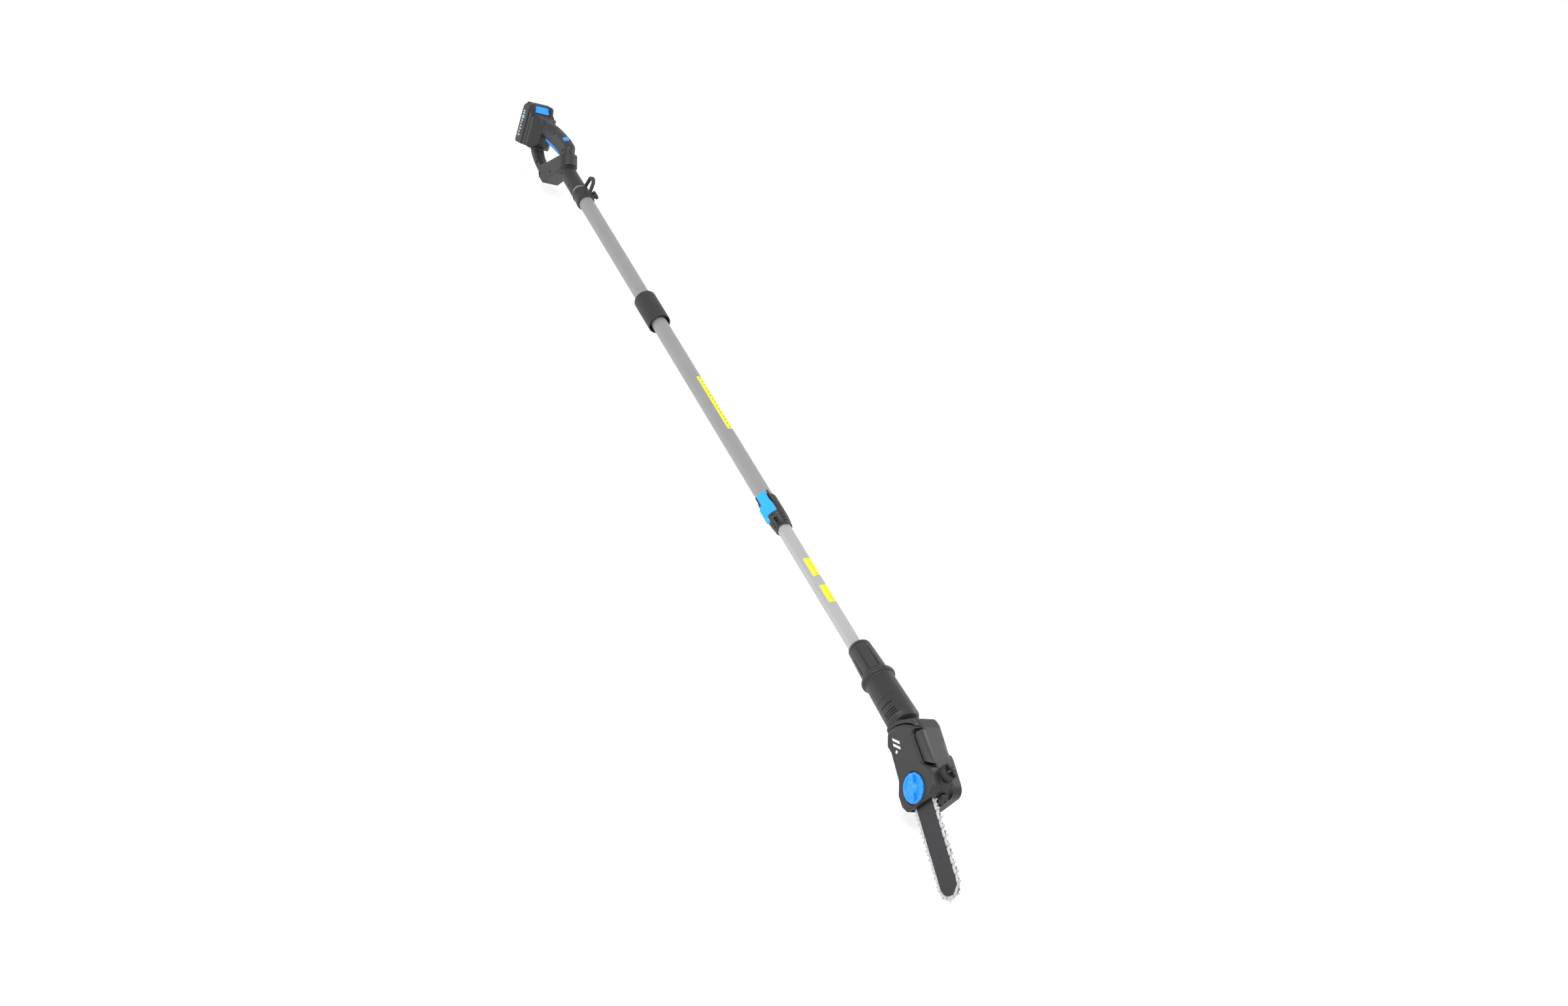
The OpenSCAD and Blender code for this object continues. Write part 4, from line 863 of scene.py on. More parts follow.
# ------------------------------------------------------------------ rear handle
@dataclass
class RearHandle:
    """Moulded handle in two halves. Outlines are in (x, z), with x from the socket's mouth."""

    mouth: float = -577.0
    grip_half: float = 14.5
    guard_half: float = 22.0
    dock: Point2 = (-284.0, -11.0)
    dock_tilt: float = -19.3
    screws: list[tuple[float, float, float]] = field(default_factory=lambda: [
        (-193, 39, 14), (-123, 36, 14), (-212, -55, 14), (-163, -60, 21), (-124, -28, 21),
        (-75, -1, 18), (-21, 0, 21.7)])
    grip: list[Point2] = field(default_factory=lambda: [
        (-275, 32), (-246, 39.5), (-226, 45), (-205, 49.5), (-174, 54), (-142, 56.8), (-124, 57),
        (-115, 55), (-110, 48), (-104, 39), (-98, 26), (-120, 20), (-136, 13), (-147, 14.5),
        (-182, 11.5), (-227, 3.5), (-276, -4)])
    leg: list[Point2] = field(default_factory=lambda: [
        (-268, 12), (-262, -30), (-246, -40), (-228, -46.5), (-212, -48.5), (-190, -46.5), (-176, -41),
        (-150, -50), (-140, -62), (-160, -66), (-193, -69), (-222, -66.5), (-250, -61), (-277, -51),
        (-296, -44), (-286, -8)])
    guard: list[Point2] = field(default_factory=lambda: [
        (-160, -68), (-172, -62), (-181, -47), (-153, -18), (-120, 21), (-100, 43), (-96, 44), (-79, 30),
        (-78, 27), (-89, -1), (-135, -68)])

    def place(self) -> Matrix:
        """The handle's frame."""
        return Matrix.Translation((self.mouth, 0, 0))

    def dock_place(self) -> Matrix:
        """The dock's frame, in which +Z is the way the pack slides off."""
        turn = Matrix.Rotation(math.radians(self.dock_tilt), 4, "Y")
        return Matrix.Translation((self.mouth + self.dock[0], 0, self.dock[1])) @ turn

    def in_dock(self, form: Form) -> Form:
        """Moves a form from the dock's frame to the handle's."""
        return form.move(self.place().inverted() @ self.dock_place())

    def nose(self) -> Form:
        """The rounded front that the guard is cut to."""
        g = self.guard_half
        points = [(-160, y, z) for y in (-g, g) for z in (-60, 60)]
        points += [(x, y, z) for x, y in arc((-g, 0), g, -90, 90, 28) for z in (-60, 60)]
        return Form.hull(points).turn(-49, "Y").shift(-88, 0, 36)

    def moulding(self) -> Form:
        """The whole handle before it is carved and split."""
        g = self.grip_half
        form = Form.pillow(self.grip, g, 12)
        form.add(Form.pillow(self.leg, g, 6.5))
        form.add(Form.prism(self.guard, -self.guard_half - 3, self.guard_half + 3).common(self.nose()))
        form.add(Form.lathe([(-100, 0), (-100, 20), (-2.2, 20), (-0.8, 19.5), (0, 18.4), (0, 0)], 96))
        form.add(Form.hull([(-80, y, z) for y in (-17, 17) for z in (-12, 12)]
                           + [(-112, y, z) for y in (-20, 20) for z in (-16, 34)]))
        dock = []
        for x, y, low, high in ((0, 32, -36, 36), (12, 32, -36, 36), (0, 27, -40, 40), (18, 27, -40, 40),
                                (30, 20, -32, 37), (38, 15, -22, 24)):
            dock += [(x, s * y, z) for s in (-1, 1) for z in (low, high)]
        form.add(self.in_dock(Form.hull(dock, 2.0)))
        return form.melt(1.1, 5)

    def screw_cutter(self) -> Form:
        """Stepped holes for the screws, on the side they go in."""
        holes = Form()
        for x, z, half in self.screws:
            profile = [(-40, 0), (-40, 3.3), (-half + 4, 3.1), (-half + 4, 1.9), (-half + 9, 1.9),
                       (-half + 9, 0)]
            holes.add(Form.lathe(profile, 28).turn(90, "Z").shift(x, 0, z))
        return holes

    def ribs(self, co: Vector, normal: Vector) -> float:
        """How far the finger ribs behind the upper screw sink the grip's top and sides at a place."""
        turned = math.radians(14)
        along = (co.x + 246) * math.cos(turned) + (co.z - 39.5) * math.sin(turned)
        above = (co.z - 39.5) * math.cos(turned) - (co.x + 246) * math.sin(turned)
        pitch = 7.2
        if not 2 < along < 2 + 6 * pitch or above < -24:
            return 0.0
        wave = abs((along - 2) / pitch % 1 - 0.5) * pitch
        return -1.3 * max(0.0, 1 - wave / 1.7) * min(1.0, (above + 24) / 8)

    def line_cutter(self) -> Form:
        """Thin lines: the guard's second parting line and the edge of the grip's soft pad."""
        g = self.guard_half
        line = Form.block((-160, -g - 1, -0.35), (0, g + 1, 0.35)).turn(49.9, "Y")
        core = Form.block((-170, -g + 0.8, -5), (5, g - 0.8, 5)).turn(49.9, "Y")
        return line.cut(core).shift(-88, 0, 29)

    def shells(self) -> None:
        """Carves the moulding and splits it into its two halves."""
        form = self.moulding()
        dock = self.place().inverted() @ self.dock_place()
        form.sculpt(self.ribs).keep(tuple(dock.translation), tuple(dock.to_3x3() @ Vector((-1, 0, 0))))
        form.cut(self.in_dock(Form.block((-2, -25.4, -34), (16.4, 25.4, 60), 0.6)),
                 Form.rod((-90, 0, 0), (5, 0, 0), 17.56, sides=96),
                 Form.block((-240, -5.6, -6), (-143.5, 5.6, 30), 0.8),
                 Form.block((-153.4, -8.4, 39), (-136.6, 8.4, 62), 2.0))
        form.cut(self.in_dock(Form.block((15, -17, -23), (26, 17, 7.5))), self.screw_cutter())
        form.cut(self.line_cutter())
        for side, name in ((-1, "left"), (1, "right")):
            half = form.copy().keep((0, side * PARTING, 0), (0, -side, 0))
            finish(half, f"handle_{name}_shell_moulded", "rear_pole", NYLON,
                   self.place(), [f"handle_{name}_shell"])

    def controls(self) -> None:
        """Trigger and lock-off button."""
        outline = [(-237, 14), (-237, 1), (-234, -3.5), (-226, -3), (-205, -0.5), (-180, 3.5),
                   (-160, 6.5), (-150, 8.6), (-145, 14), (-150, 19.2), (-182, 20.5), (-205, 17.5)]
        trigger = Form.prism(outline, -5, 5, rim=1.8, corner=1.6, segments=4)
        trigger.cut(Form.rod((-150, -20, 14), (-150, 20, 14), 1.56, sides=24))
        finish(trigger, "trigger_moulded", "trigger", ABS_BLUE, self.place(),
               ["trigger"])
        button = Form.block((-7.6, -6, -2), (7.6, 7, 7.2), 1.4, 3).turn(24, "X")
        button.add(Form.block((-7.6, -7.2, -4), (7.6, 7.2, -1), 0.4)).shift(-145, -4, 50)
        finish(button, "lock_off_button_moulded", "lock_off", ABS_BLUE, self.place(),
               ["lock_off_button"])

    def build(self) -> None:
        """Makes every piece."""
        self.shells()
        self.controls()
        dress(STEEL_DARK, "handle_screws")
        dress(STEEL, "trigger_pin")
        dress(NYLON_BLACK, "trigger_switch", "dock_terminal_block")
        dress(BOARD, "controller_board")


@dataclass
class BatteryPack:
    """Slide-on pack, in the dock's frame: +X points into the dock and +Z is the way it pulls off."""

    place: Matrix
    half: float = 34.0
    back: float = -53.0
    split: float = -18.0
    low: float = -40.5
    high: float = 65.5

    def case(self) -> None:
        """Rear case with soft corners, a side strip recess and a pocket for the button."""
        w, b, s, low, high = self.half, self.back, self.split, self.low, self.high
        wide = [(b + 3, low + 1), (b, low + 5), (b, high - 17), (b + 5, high - 8), (s - 3, high - 7),
                (s - 0.6, high - 11), (s - 0.6, low + 3), (s - 2.5, low + 1)]
        tall = [(b + 4, low + 0.3), (b + 1, low + 4), (b + 0.6, high - 10), (b + 8, high - 0.6),
                (s - 0.8, high - 3.5), (s - 0.8, low + 0.3)]
        form = Form.prism(wide, -w, w, rim=5, corner=4)
        form.add(Form.prism(tall, -w + 5, w - 5, rim=4, corner=4))
        for y in (-18, 18):
            form.add(Form.block((b + 8, y - 7, low), (s - 6, y + 7, low + 6), 1.5))
        form.melt(1.1, 4)
        form.cut(Form.block((b + 5, -w - 5, low + 14), (b + 24, -w + 0.75, high - 18), 0.4),
                 Form.block((s - 7, -20.6, 46.5), (s + 5, 20.6, high + 9), 1.0))
        form.keep((s - 0.35, 0, 0), (1, 0, 0))
        finish(form, "battery_case_moulded", "battery", NYLON, self.place,
               ["battery_case"])

    def lid(self) -> None:
        """Front lid with its rails and two ridges beside the button."""
        w, s, low, high = self.half - 2, self.split, self.low, self.high
        form = Form.prism([(s + 0.4, low + 2), (-1.3, low + 2), (-1.3, 40.8), (-12, 46), (-16, high - 5),
                           (s + 0.4, high - 4)], -w, w, rim=2.4, corner=2.5)
        ridge = [(s + 0.4, low + 30), (-8, 42), (-8, high - 14), (-14.5, high - 1), (s + 0.4, high - 1)]
        for y in (-23.5, 23.5):
            form.add(Form.prism(ridge, y - 4, y + 4, rim=2.2, corner=2.5))
        form.melt(1.0, 3)
        form.cut(Form.prism([(-26, 43), (-4, 43), (-14, high), (-26, high + 4)], -20.6, 20.6))
        form.keep((s + 0.35, 0, 0), (-1, 0, 0))
        form.keep((-1.25, 0, 0), (1, 0, 0))
        rails = Form.prism([(-3, -32), (5.6, -32), (5.6, 37), (-3, 43)], -23.8, 23.8, rim=0.8, corner=0.8)
        for y in (-10, -4, 4, 10):
            rails.cut(Form.block((-7, y - 1.4, -40), (8, y + 1.4, 34)))
        form.add(rails)
        finish(form, "battery_lid_moulded", "battery", NYLON_BLACK, self.place,
               ["battery_lid"])

    def strip(self) -> None:
        """Glossy strip on the case's side, with a column of plain marks and one lit bar."""
        w, b = self.half, self.back
        y0 = -w + 0.1
        strip = Form.block((b + 5.3, y0, self.low + 14.3), (b + 23.7, -w + 0.7, self.high - 18.3), 0.25)
        finish(strip, "battery_gauge_strip", "battery", PANEL, self.place, ["battery_gauge"])
        marks = Form()
        for z, wide in ((-21, 8), (-13.5, 5), (-6, 8), (1.5, 6.5), (9, 4), (15, 8), (33, 9.5), (38.5, 7)):
            marks.add(Form.block((b + 10, y0 - 0.08, z), (b + 10 + wide, y0 + 0.2, z + 2.4), 0.05))
        finish(marks, "battery_gauge_marks", "battery", PANEL_MARK, self.place)
        lit = Form.block((b + 9, y0 - 0.1, 21.5), (b + 20, y0 + 0.2, 29), 0.06)
        finish(lit, "battery_gauge_light", "battery", PANEL_LIGHT, self.place)

    def button(self) -> None:
        """Slanted release button."""
        outline = [(-14.5, 44), (-9.7, 44.2), (-9.7, 46.2), (-17.4, 57.6), (-19, 59.8), (-21, 59.8)]
        form = Form.prism(outline, -19.8, 19.8, rim=1.4, corner=0.7)
        finish(form, "battery_button_moulded", "battery_button", ABS_BLUE, self.place,
               ["battery_release_button"])

    def build(self) -> None:
        """Makes every piece."""
        self.case()
        self.lid()
        self.strip()
        self.button()
        dress(CELL_WRAP, "battery_cells")
        dress(BOARD, "battery_board")


# ------------------------------------------------------------------ front half of the pole
@dataclass
class FrontPole:
    """Octagonal inner tube, its reach labels and the coupling collar."""

    turn: float = 58.0
    rear: float = 429.0
    front: float = 1099.0
    wide: float = 28.5
    narrow: float = 26.7
    wall: float = 1.2
    labels: list[Point2] = field(default_factory=lambda: [(772, 823), (851, 899)])
    collar: Point2 = (1021.0, 1103.0)
    collar_radius: float = 23.5
    rise: float = 6.0

    def place(self) -> Matrix:
        """The tube's frame, turned so that a corner pair lies either side of the lock's lever."""
        return Matrix.Rotation(math.radians(self.turn), 4, "X")

    def octagon(self, grow: float, low: float, high: float, corner: float) -> Form:
        """Octagonal rod along X, grown by grow on each flat."""
        a, b = self.wide / 2 + grow, self.narrow / 2 + grow
        cut = b * math.sqrt(2) - a
        loop = [(a, -cut), (a, cut), (cut, a), (-cut, a), (-a, cut), (-a, -cut), (-cut, -a), (cut, -a)]
        return Form.prism(loop, low, high, corner=corner, segments=4).turn(-90, "Z")

    def tube(self) -> None:
        """Drawn octagonal tube with rounded corners."""
        form = self.octagon(0, self.rear, self.front, 1.6)
        form.cut(self.octagon(-self.wall, self.rear - 5, self.front + 5, 1.0))
        finish(form, "inner_tube_drawn", "saw_head", ALU_INNER, self.place(), ["inner_tube"])

    def stickers(self) -> None:
        """Reach labels folded over an edge between two flats."""
        for (a, b), name in zip(self.labels, ("rear", "front")):
            film = self.octagon(0.28, a, b, 1.8).cut(self.octagon(0.06, a - 5, b + 5, 1.6))
            film.common(Form.block((a - 1, 3.2, 3.2), (b + 1, 16, 16)))
            turned = math.radians(self.turn + 45)
            ink = Film(f"vinyl_reach_label_{name}", "#fbf72a", "#74741c", pitch=5.2, start=a + 3,
                       tick=0.3, band=(-4.0, 1.0), across=(-math.sin(turned), math.cos(turned)))
            finish(film, f"reach_label_{name}_film", "saw_head", ink, self.place(),
                   [f"reach_label_{name}"])

    def coupling(self) -> None:
        """Flared coupling collar with grooves along it for the fingers."""
        a, b = self.collar
        r, r2, bore = self.collar_radius, self.collar_radius + 3.5, self.narrow / 2 + self.rise + 1
        ring = [(a, bore), (a, r - 3), (a + 1.5, r - 1.5), (a + 5, r - 0.2), (a + 7, r), (a + 9, r + 0.1),
                (a + 9.6, r - 0.5), (a + 10.6, r - 0.5), (a + 11.2, r + 0.2), (b - 6, r2 - 0.2),
                (b - 5.4, r2 - 0.8), (b - 4.4, r2 - 0.8), (b - 3.8, r2), (b - 1, r2), (b, r2 - 1),
                (b, 22.06), (b - 35, 22.06), (b - 35, bore)]
        form = Form.lathe(ring, 128)
        cuts = Form()
        for k in range(8):
            slot = Form.hull([(x, y, z) for x, floor in ((a + 14, r + 0.3), (b - 8, r + 1.6))
                              for y in (-1.6, 1.6) for z in (floor, 40)])
            cuts.add(slot.turn(45 * k + self.turn, "X"))
        form.cut(cuts)
        finish(form, "coupling_collar_moulded", "collar", NYLON_FINE,
               Matrix.Translation((0, 0, self.rise)), ["coupling_collar"])

    def build(self) -> None:
        """Makes every piece."""
        self.tube()
        self.stickers()
        self.coupling()
        dress(NYLON_BLACK, "inner_tube_plug")


# ------------------------------------------------------------------ saw head
@dataclass
class SawHead:
    """Motor tube and gear case in two halves. The head's frame is tilted down by tilt."""

    x: float = 1216.0
    tilt: float = 18.0
    rise: float = 6.0
    half: float = 33.0
    face: float = -14.2
    plate: float = -15.6
    flange: Point2 = (1104.0, 34.5)
    vents: tuple[float, ...] = (28.0, 13.0, 7.5, 2.0)
    screws: list[Point2] = field(default_factory=lambda: [
        (36, -10), (34, 40), (92, -14), (126, -21), (160, -23)])
    outline: list[Point2] = field(default_factory=lambda: [
        (14, -14), (14, 30), (22, 56), (30, 61), (45, 66), (66, 68), (112, 72.6), (160, 72.6),
        (171, 68.5), (176, 58), (178, 52), (178, 30), (178, -16), (168, -30), (137, -32), (110, -26),
        (57, -24), (24, -22)])
    tank: list[Point2] = field(default_factory=lambda: [
        (96, 60), (104, 71), (112, 72.6), *arc((164, 53), 19.6, 90, 0, 8), (183.6, 0), (176, -18),
        (160, -27), (110, -22)])

    def place(self) -> Matrix:
        """The head's frame: x along the bar and z up across it."""
        return Matrix.Translation((self.x, 0, 0)) @ Matrix.Rotation(math.radians(self.tilt), 4, "Y")

    def moulding(self) -> Form:
        """The whole head before it is carved and split, in the head's frame."""
        x0, r = self.flange
        form = Form.lathe([(1069, 0), (1069, 22), (x0, 22), (x0, r - 3), (x0 + 3, r), (x0 + 9, r),
                           (x0 + 12, r - 3), (x0 + 12, 29.5), (x0 + 116, 32.4), (x0 + 124, 28),
                           (x0 + 128, 20), (x0 + 128, 0)], 128)
        form.shift(z=self.rise).move(self.place().inverted())
        form.add(Form.prism(self.outline, self.face, self.half - 10, rim=1.5, corner=2))
        for z, y in ((69, 6), (65, 2)):
            form.add(Form.prism(self.outline, 0, self.half - y).keep((0, 0, z), (0, 0, 1)))
        form.add(Form.block((86, self.plate, -1), (178, 0, 37)))
        form.add(Form.prism(self.tank, 10, self.half - 2, rim=5, corner=3, segments=4))
        cheek = [(16, -12), (16, 30), (26, 54), (46, 60), (104, 62), (110, -20), (57, -20), (24, -18)]
        form.add(Form.prism(cheek, 10, self.half - 1.5, rim=5, corner=4, segments=4))
        foot = ((50, 67), (66, 68), (112, 72.6), (122, 72.6), (112, 58.5), (57, 54.5), (52, 57))
        crest = ((52, 61), (66, 62), (112, 66), (116, 66), (112, 58.5), (57, 54.5))
        form.add(Form.hull([(x, y, z) for y in (-20, self.face + 1) for x, z in foot]
                           + [(x, -28, z) for x, z in crest]))
        form.add(Form.prism([(8, -16), (9, 20), (22, 55), (34, 61), (42, 62), (32, 52), (23, 36), (16, 14),
                             (15, -9), (20, -16)], -27, self.face + 1, rim=1.5))
        return form.melt(1.15, 3)

    def vent_cutter(self) -> Form:
        """Cooling slots: arcs on both sides of the motor tube."""
        cuts = Form()
        for back in self.vents:
            a = self.x - back
            ring = Form.lathe([(a, 27.5), (a, 40), (a + 1.8, 40), (a + 1.8, 27.5)], 96)
            for side in (-1, 1):
                window = Form.block((a - 3, -60, -18), (a + 3, 0, 11)).turn(-22, "X")
                if side > 0:
                    window = window.flipped("Y")
                cuts.add(ring.copy().common(window))
        return cuts.shift(z=self.rise).move(self.place().inverted())

    def line_cutter(self) -> Form:
        """Thin arc lines of the panel round the motor tube's front."""
        back, front = self.x - 44, self.x - 43.4
        ring = Form.lathe([(back, 30.4), (back, 40), (front, 40), (front, 30.4)], 96)
        window = Form.block((self.x - 50, -60, -26), (self.x - 30, 60, 27))
        return ring.common(window).shift(z=self.rise).move(self.place().inverted())

    def shells(self) -> None:
        """Carves the moulding and splits it into its two halves."""
        form = self.moulding()
        holes = Form()
        for x, z in self.screws:
            hole = Form.lathe([(-60, 0), (-60, 3.3), (-10, 3.3), (-10, 0)], 28)
            holes.add(hole.turn(90, "Z").shift(x, 0, z))
        tube = Form.rod((1060, 0, 0), (1102, 0, 0), 14.6, sides=64).move(self.place().inverted())
        form.cut(holes).cut(self.vent_cutter()).cut(self.line_cutter(), tube)
        form.cut(Form.rod((144, 0, 60), (144, 0, 90), 9.05, sides=64),
                 Form.rod((55.4, -30, 18), (55.4, -6, 18), 11.05, sides=64),
                 Form.rod((145, -30, 18), (145, -0.2, 18), 3.93, sides=40),
                 Form.block((154, -18, -4.2), (168, 3.4, 4.2)),
                 Form.block((169, -14.3, -4.2), (190, -6.2, 4.2)))
        for side, name in ((-1, "left"), (1, "right")):
            half = form.copy().keep((0, side * PARTING, 0), (0, -side, 0))
            finish(half, f"head_{name}_shell_moulded", "saw_head", NYLON,
                   self.place(), [f"head_{name}_shell"])

    def teeth(self) -> None:
        """Bumper teeth at the foot of the bar."""
        form = Form.prism([(178.1, 34), (178.1, 62), (183, 62), (189, 57), (184.4, 52.6), (184.4, 48.6),
                           (189, 44), (184.4, 39), (183, 34)], -13, 1.5, rim=0.8, corner=0.8)
        finish(form, "bumper_teeth_moulded", "saw_head", NYLON_BLACK, self.place(),
               ["bumper_teeth"])

    def build(self) -> None:
        """Makes every piece."""
        self.shells()
        self.teeth()
        dress(STEEL_DARK, "head_screws", "motor_can")
        dress(STEEL, "bearing_left", "bearing_right", "output_shaft", "bevel_gear", "bevel_pinion",
              "drive_sprocket", "bar_stud", "tension_screw", "tension_pin")
        dress(COPPER, "motor_rotor")
        dress(NYLON_BLACK, "motor_fan", "oil_pump")
        dress(PE_TANK, "oil_tank")


@dataclass
class SprocketCover:
    """Cover over the sprocket with its clamping knob and printed mark, in the head's frame."""

    place: Matrix
    front: float = -33.0
    inside: float = -14.25
    knob: Point2 = (145.0, 18.0)
    knob_radius: float = 28.75
    knob_turn: float = 20.0
    rim: list[Point2] = field(default_factory=lambda: [
        (17, -9), (18, 14), (25, 36), (34, 52), (45, 64.5), (50, 55.5), (57, 53), (113, 57), (122, 65),
        (130, 72), (146, 73.6), (166, 72), (172, 66), (178, 56), (176, 20), (174, -22), (160, -31),
        (137, -32), (113, -20), (57, -18), (41, -23), (24, -15)])
    top: list[Point2] = field(default_factory=lambda: [
        (21, -7), (22, 14), (28, 35), (37, 50), (46, 60), (54, 51), (60, 49.5), (111, 53), (120, 62),
        (131, 68.6), (146, 70), (163, 69), (173, 55), (172, 20), (170, -20), (158, -27), (138, -28.5),
        (114, -16), (57, -14), (42, -19), (27, -12)])

    def cover(self) -> None:
        """Hollow cover with a stepped, chamfered face."""
        x, z = self.knob
        form = Form.prism(self.rim, self.front + 3.2, self.inside, rim=1.1, corner=1.6)
        form.add(Form.prism(self.top, self.front, self.front + 6, rim=1.6, corner=2.0, segments=4))
        form.melt(0.9, 3)
        hollow = [(22, 2), (24, 22), (33, 40), (51, 49), (96, 52.5), (200, 57), (200, -21.5), (96, -17),
                  (52, -16), (32, -9)]
        form.cut(Form.prism(hollow, self.front + 8.6, 0, corner=1.0))
        form.cut(Form.lathe([(-50, 0), (-50, 31.3), (self.front + 0.6, 31.3), (self.front + 2.3, 30.2),
                             (self.front + 2.3, 4.3), (0, 4.3), (0, 0)], 96).turn(90, "Z").shift(x, 0, z))
        form.cut(Form.prism([(26, -5.4), (26, -6.2), (84, -9.6), (84, -8.8)], -40, self.front + 0.7))
        finish(form, "sprocket_cover_moulded", "saw_head", NYLON, self.place,
               ["sprocket_cover"])

    def mark(self) -> None:
        """Plain printed mark: two slanted bars and a dot."""
        y0, y1 = self.front - 0.08, self.front + 0.1
        form = Form.prism([(35, 0), (40, -1), (55, 15), (50, 16)], y0, y1)
        form.add(Form.prism([(45, -2), (50, -3), (65, 13), (60, 14)], y0, y1),
                 Form.rod((64, y0, 1), (64, y1, 1), 3, sides=28))
        finish(form, "cover_badge_print", "saw_head", INK, self.place, ["cover_badge"])

    def dial(self) -> None:
        """Dished knob with a raised bar, a stepped hub and a notched rim."""
        x, z = self.knob
        r, rim, face = self.knob_radius, self.front - 3.4, self.front - 7
        back = self.front + 2.2
        ring = [(face + 3.3, 0), (face + 3.3, 4.0), (back, 4.0), (back, r - 1.6), (back - 0.8, r - 0.9),
                (rim + 0.9, r - 0.5), (rim + 0.2, r - 1.3), (rim, r - 2.2), (rim + 0.1, r - 4.4),
                (rim + 1.0, r - 5.6), (rim + 2.6, r - 6.6), (rim + 2.9, 12.5), (rim + 1.2, 11.8),
                (face + 0.8, 9.0), (face, 8.0), (face, 4.4), (face + 0.8, 3.6), (face + 0.8, 0)]
        form = Form.lathe(ring, 120).turn(90, "Z")
        notch = Form.rod((r + 2.9, -60, 0), (r + 2.9, 0, 0), 4.6, sides=28)
        form.cut(notch.ring(12, "Y"))
        end = r - 3.2
        bar = Form.prism([(-end, -4.4), (-end, 4.4), (-9, 5.2), (9, 5.2), (end, 4.4), (end, -4.4),
                          (9, -5.2), (-9, -5.2)], face, back, rim=1.5, corner=1.2)
        bar.cut(Form.rod((0, -60, 0), (0, 0, 0), 7.0, sides=48),
                Form.block((-19, face - 3, -0.7), (-13, face + 1.2, 0.7)),
                Form.block((13, face - 3, -0.7), (19, face + 1.2, 0.7)))
        form.add(bar).turn(self.knob_turn, "Y").shift(x, 0, z)
        finish(form, "cover_knob_moulded", "knob", ABS_BLUE, self.place, ["cover_knob"])

    def build(self) -> None:
        """Makes every piece."""
        self.cover()
        self.mark()
        self.dial()


@dataclass
class BarAndChain:
    """Guide bar and saw chain, in the head's frame."""

    place: Matrix
    sprocket: Point2 = (55.4, 18.0)
    rail: float = 18.2
    nose: Point2 = (329.0, 18.0)
    nose_radius: float = 23.0
    chain_y: float = -17.75
    rivets: int = 78

    def path(self, s: float) -> tuple[float, float, float]:
        """Place and heading on the bar's edge at a distance along it, from under the sprocket."""
        (sx, mid), (nx, _) = self.sprocket, self.nose
        run, bend, r = nx - sx, math.pi * self.nose_radius, self.nose_radius
        drop = r - self.rail
        if s < run:
            return sx + s, mid - self.rail - drop * min(1, s / 42), 0
        if s < run + bend:
            a = (s - run) / r
            return nx + r * math.sin(a), mid - r * math.cos(a), math.degrees(a)
        if s < 2 * run + bend:
            u = s - bend - run
            return nx - u, mid + self.rail + drop * min(1, (run - u) / 42), 180
        a = (s - 2 * run - bend) / self.rail
        return sx - self.rail * math.sin(a), mid + self.rail * math.cos(a), 180 + math.degrees(a)

    def link(self, s: float, form: Form) -> Form:
        """Puts a link drawn with its middle at the origin and +Z into the bar on the path."""
        x, z, heading = self.path(s)
        return form.turn(-heading, "Y").shift(x, self.chain_y, z)

    def chain(self) -> None:
        """Drive links, tie straps, rivets and cutters on alternate sides."""
        length = 2 * (self.nose[0] - self.sprocket[0]) + math.pi * (self.nose_radius + self.rail)
        step = length / self.rivets
        h = step / 2
        strap = [(-h - 3.2, -3.4), (-h - 2.4, -6.0), (h + 2.4, -6.0), (h + 3.2, -3.4), (h + 2.4, -0.5),
                 (-h - 2.4, -0.5)]
        drive = [(-h - 2.4, -3.2), (-h - 1.0, -6.2), (0.8, -6.6), (2.4, -8.6), (h + 1.6, -6.0),
                 (h + 2.4, -3.2), (2.2, -0.6), (1.0, 3.2), (-1.4, 2.6), (-2.4, -0.6)]
        cutter = [(-h - 2.6, -3.2), (-h - 2.2, -9.4), (-h + 0.6, -9.9), (-h + 2.0, -6.3), (h - 4.2, -6.0),
                  (h - 3.2, -8.7), (h - 0.4, -8.9), (h + 2.6, -3.4), (h + 1.2, -0.7), (-h - 1.2, -0.7)]
        links, teeth = Form(), Form()
        for k in range(self.rivets):
            s = (k + 0.5) * step
            if k % 2 == 0:
                links.add(self.link(s, Form.prism(drive, -1.0, 1.0)))
            else:
                hand = 1 if k % 4 == 1 else -1
                for side in (-1, 1):
                    low, high = (-2.7, -1.1) if side < 0 else (1.1, 2.7)
                    if side == hand:
                        teeth.add(self.link(s, Form.prism(cutter, low, high, rim=0.25, segments=1)))
                        back, front = -h - 2.2, -h + 0.6
                        top = Form.hull([(x, y, -8.6) for x in (back, front) for y in (low, high)]
                                        + [(back, -hand * 1.6, -9.0), (front, -hand * 1.6, -9.9),
                                           (back, side * 3.0, -9.2), (front, side * 3.0, -9.9)])
                        teeth.add(self.link(s, top))
                    else:
                        links.add(self.link(s, Form.prism(strap, low, high, rim=0.25, segments=1)))
            x, z, heading = self.path(k * step % length)
            rivet = Form.rod((x, self.chain_y - 2.9, z), (x, self.chain_y + 2.9, z), 1.5, sides=8)
            links.add(rivet.move(self.inset(heading)))
        links.add(teeth)
        finish(links, "saw_chain_links", "saw_head", CHAIN, self.place, ["saw_chain"],
               smooth=28)

    def inset(self, heading: float) -> Matrix:
        """Moves a rivet out from the bar's edge to the links' middle line."""
        turned = math.radians(heading)
        return Matrix.Translation((math.sin(turned) * 3.2, 0, -math.cos(turned) * 3.2))

    def build(self) -> None:
        """Makes every piece."""
        self.chain()
        dress(BAR_PAINT, "guide_bar")


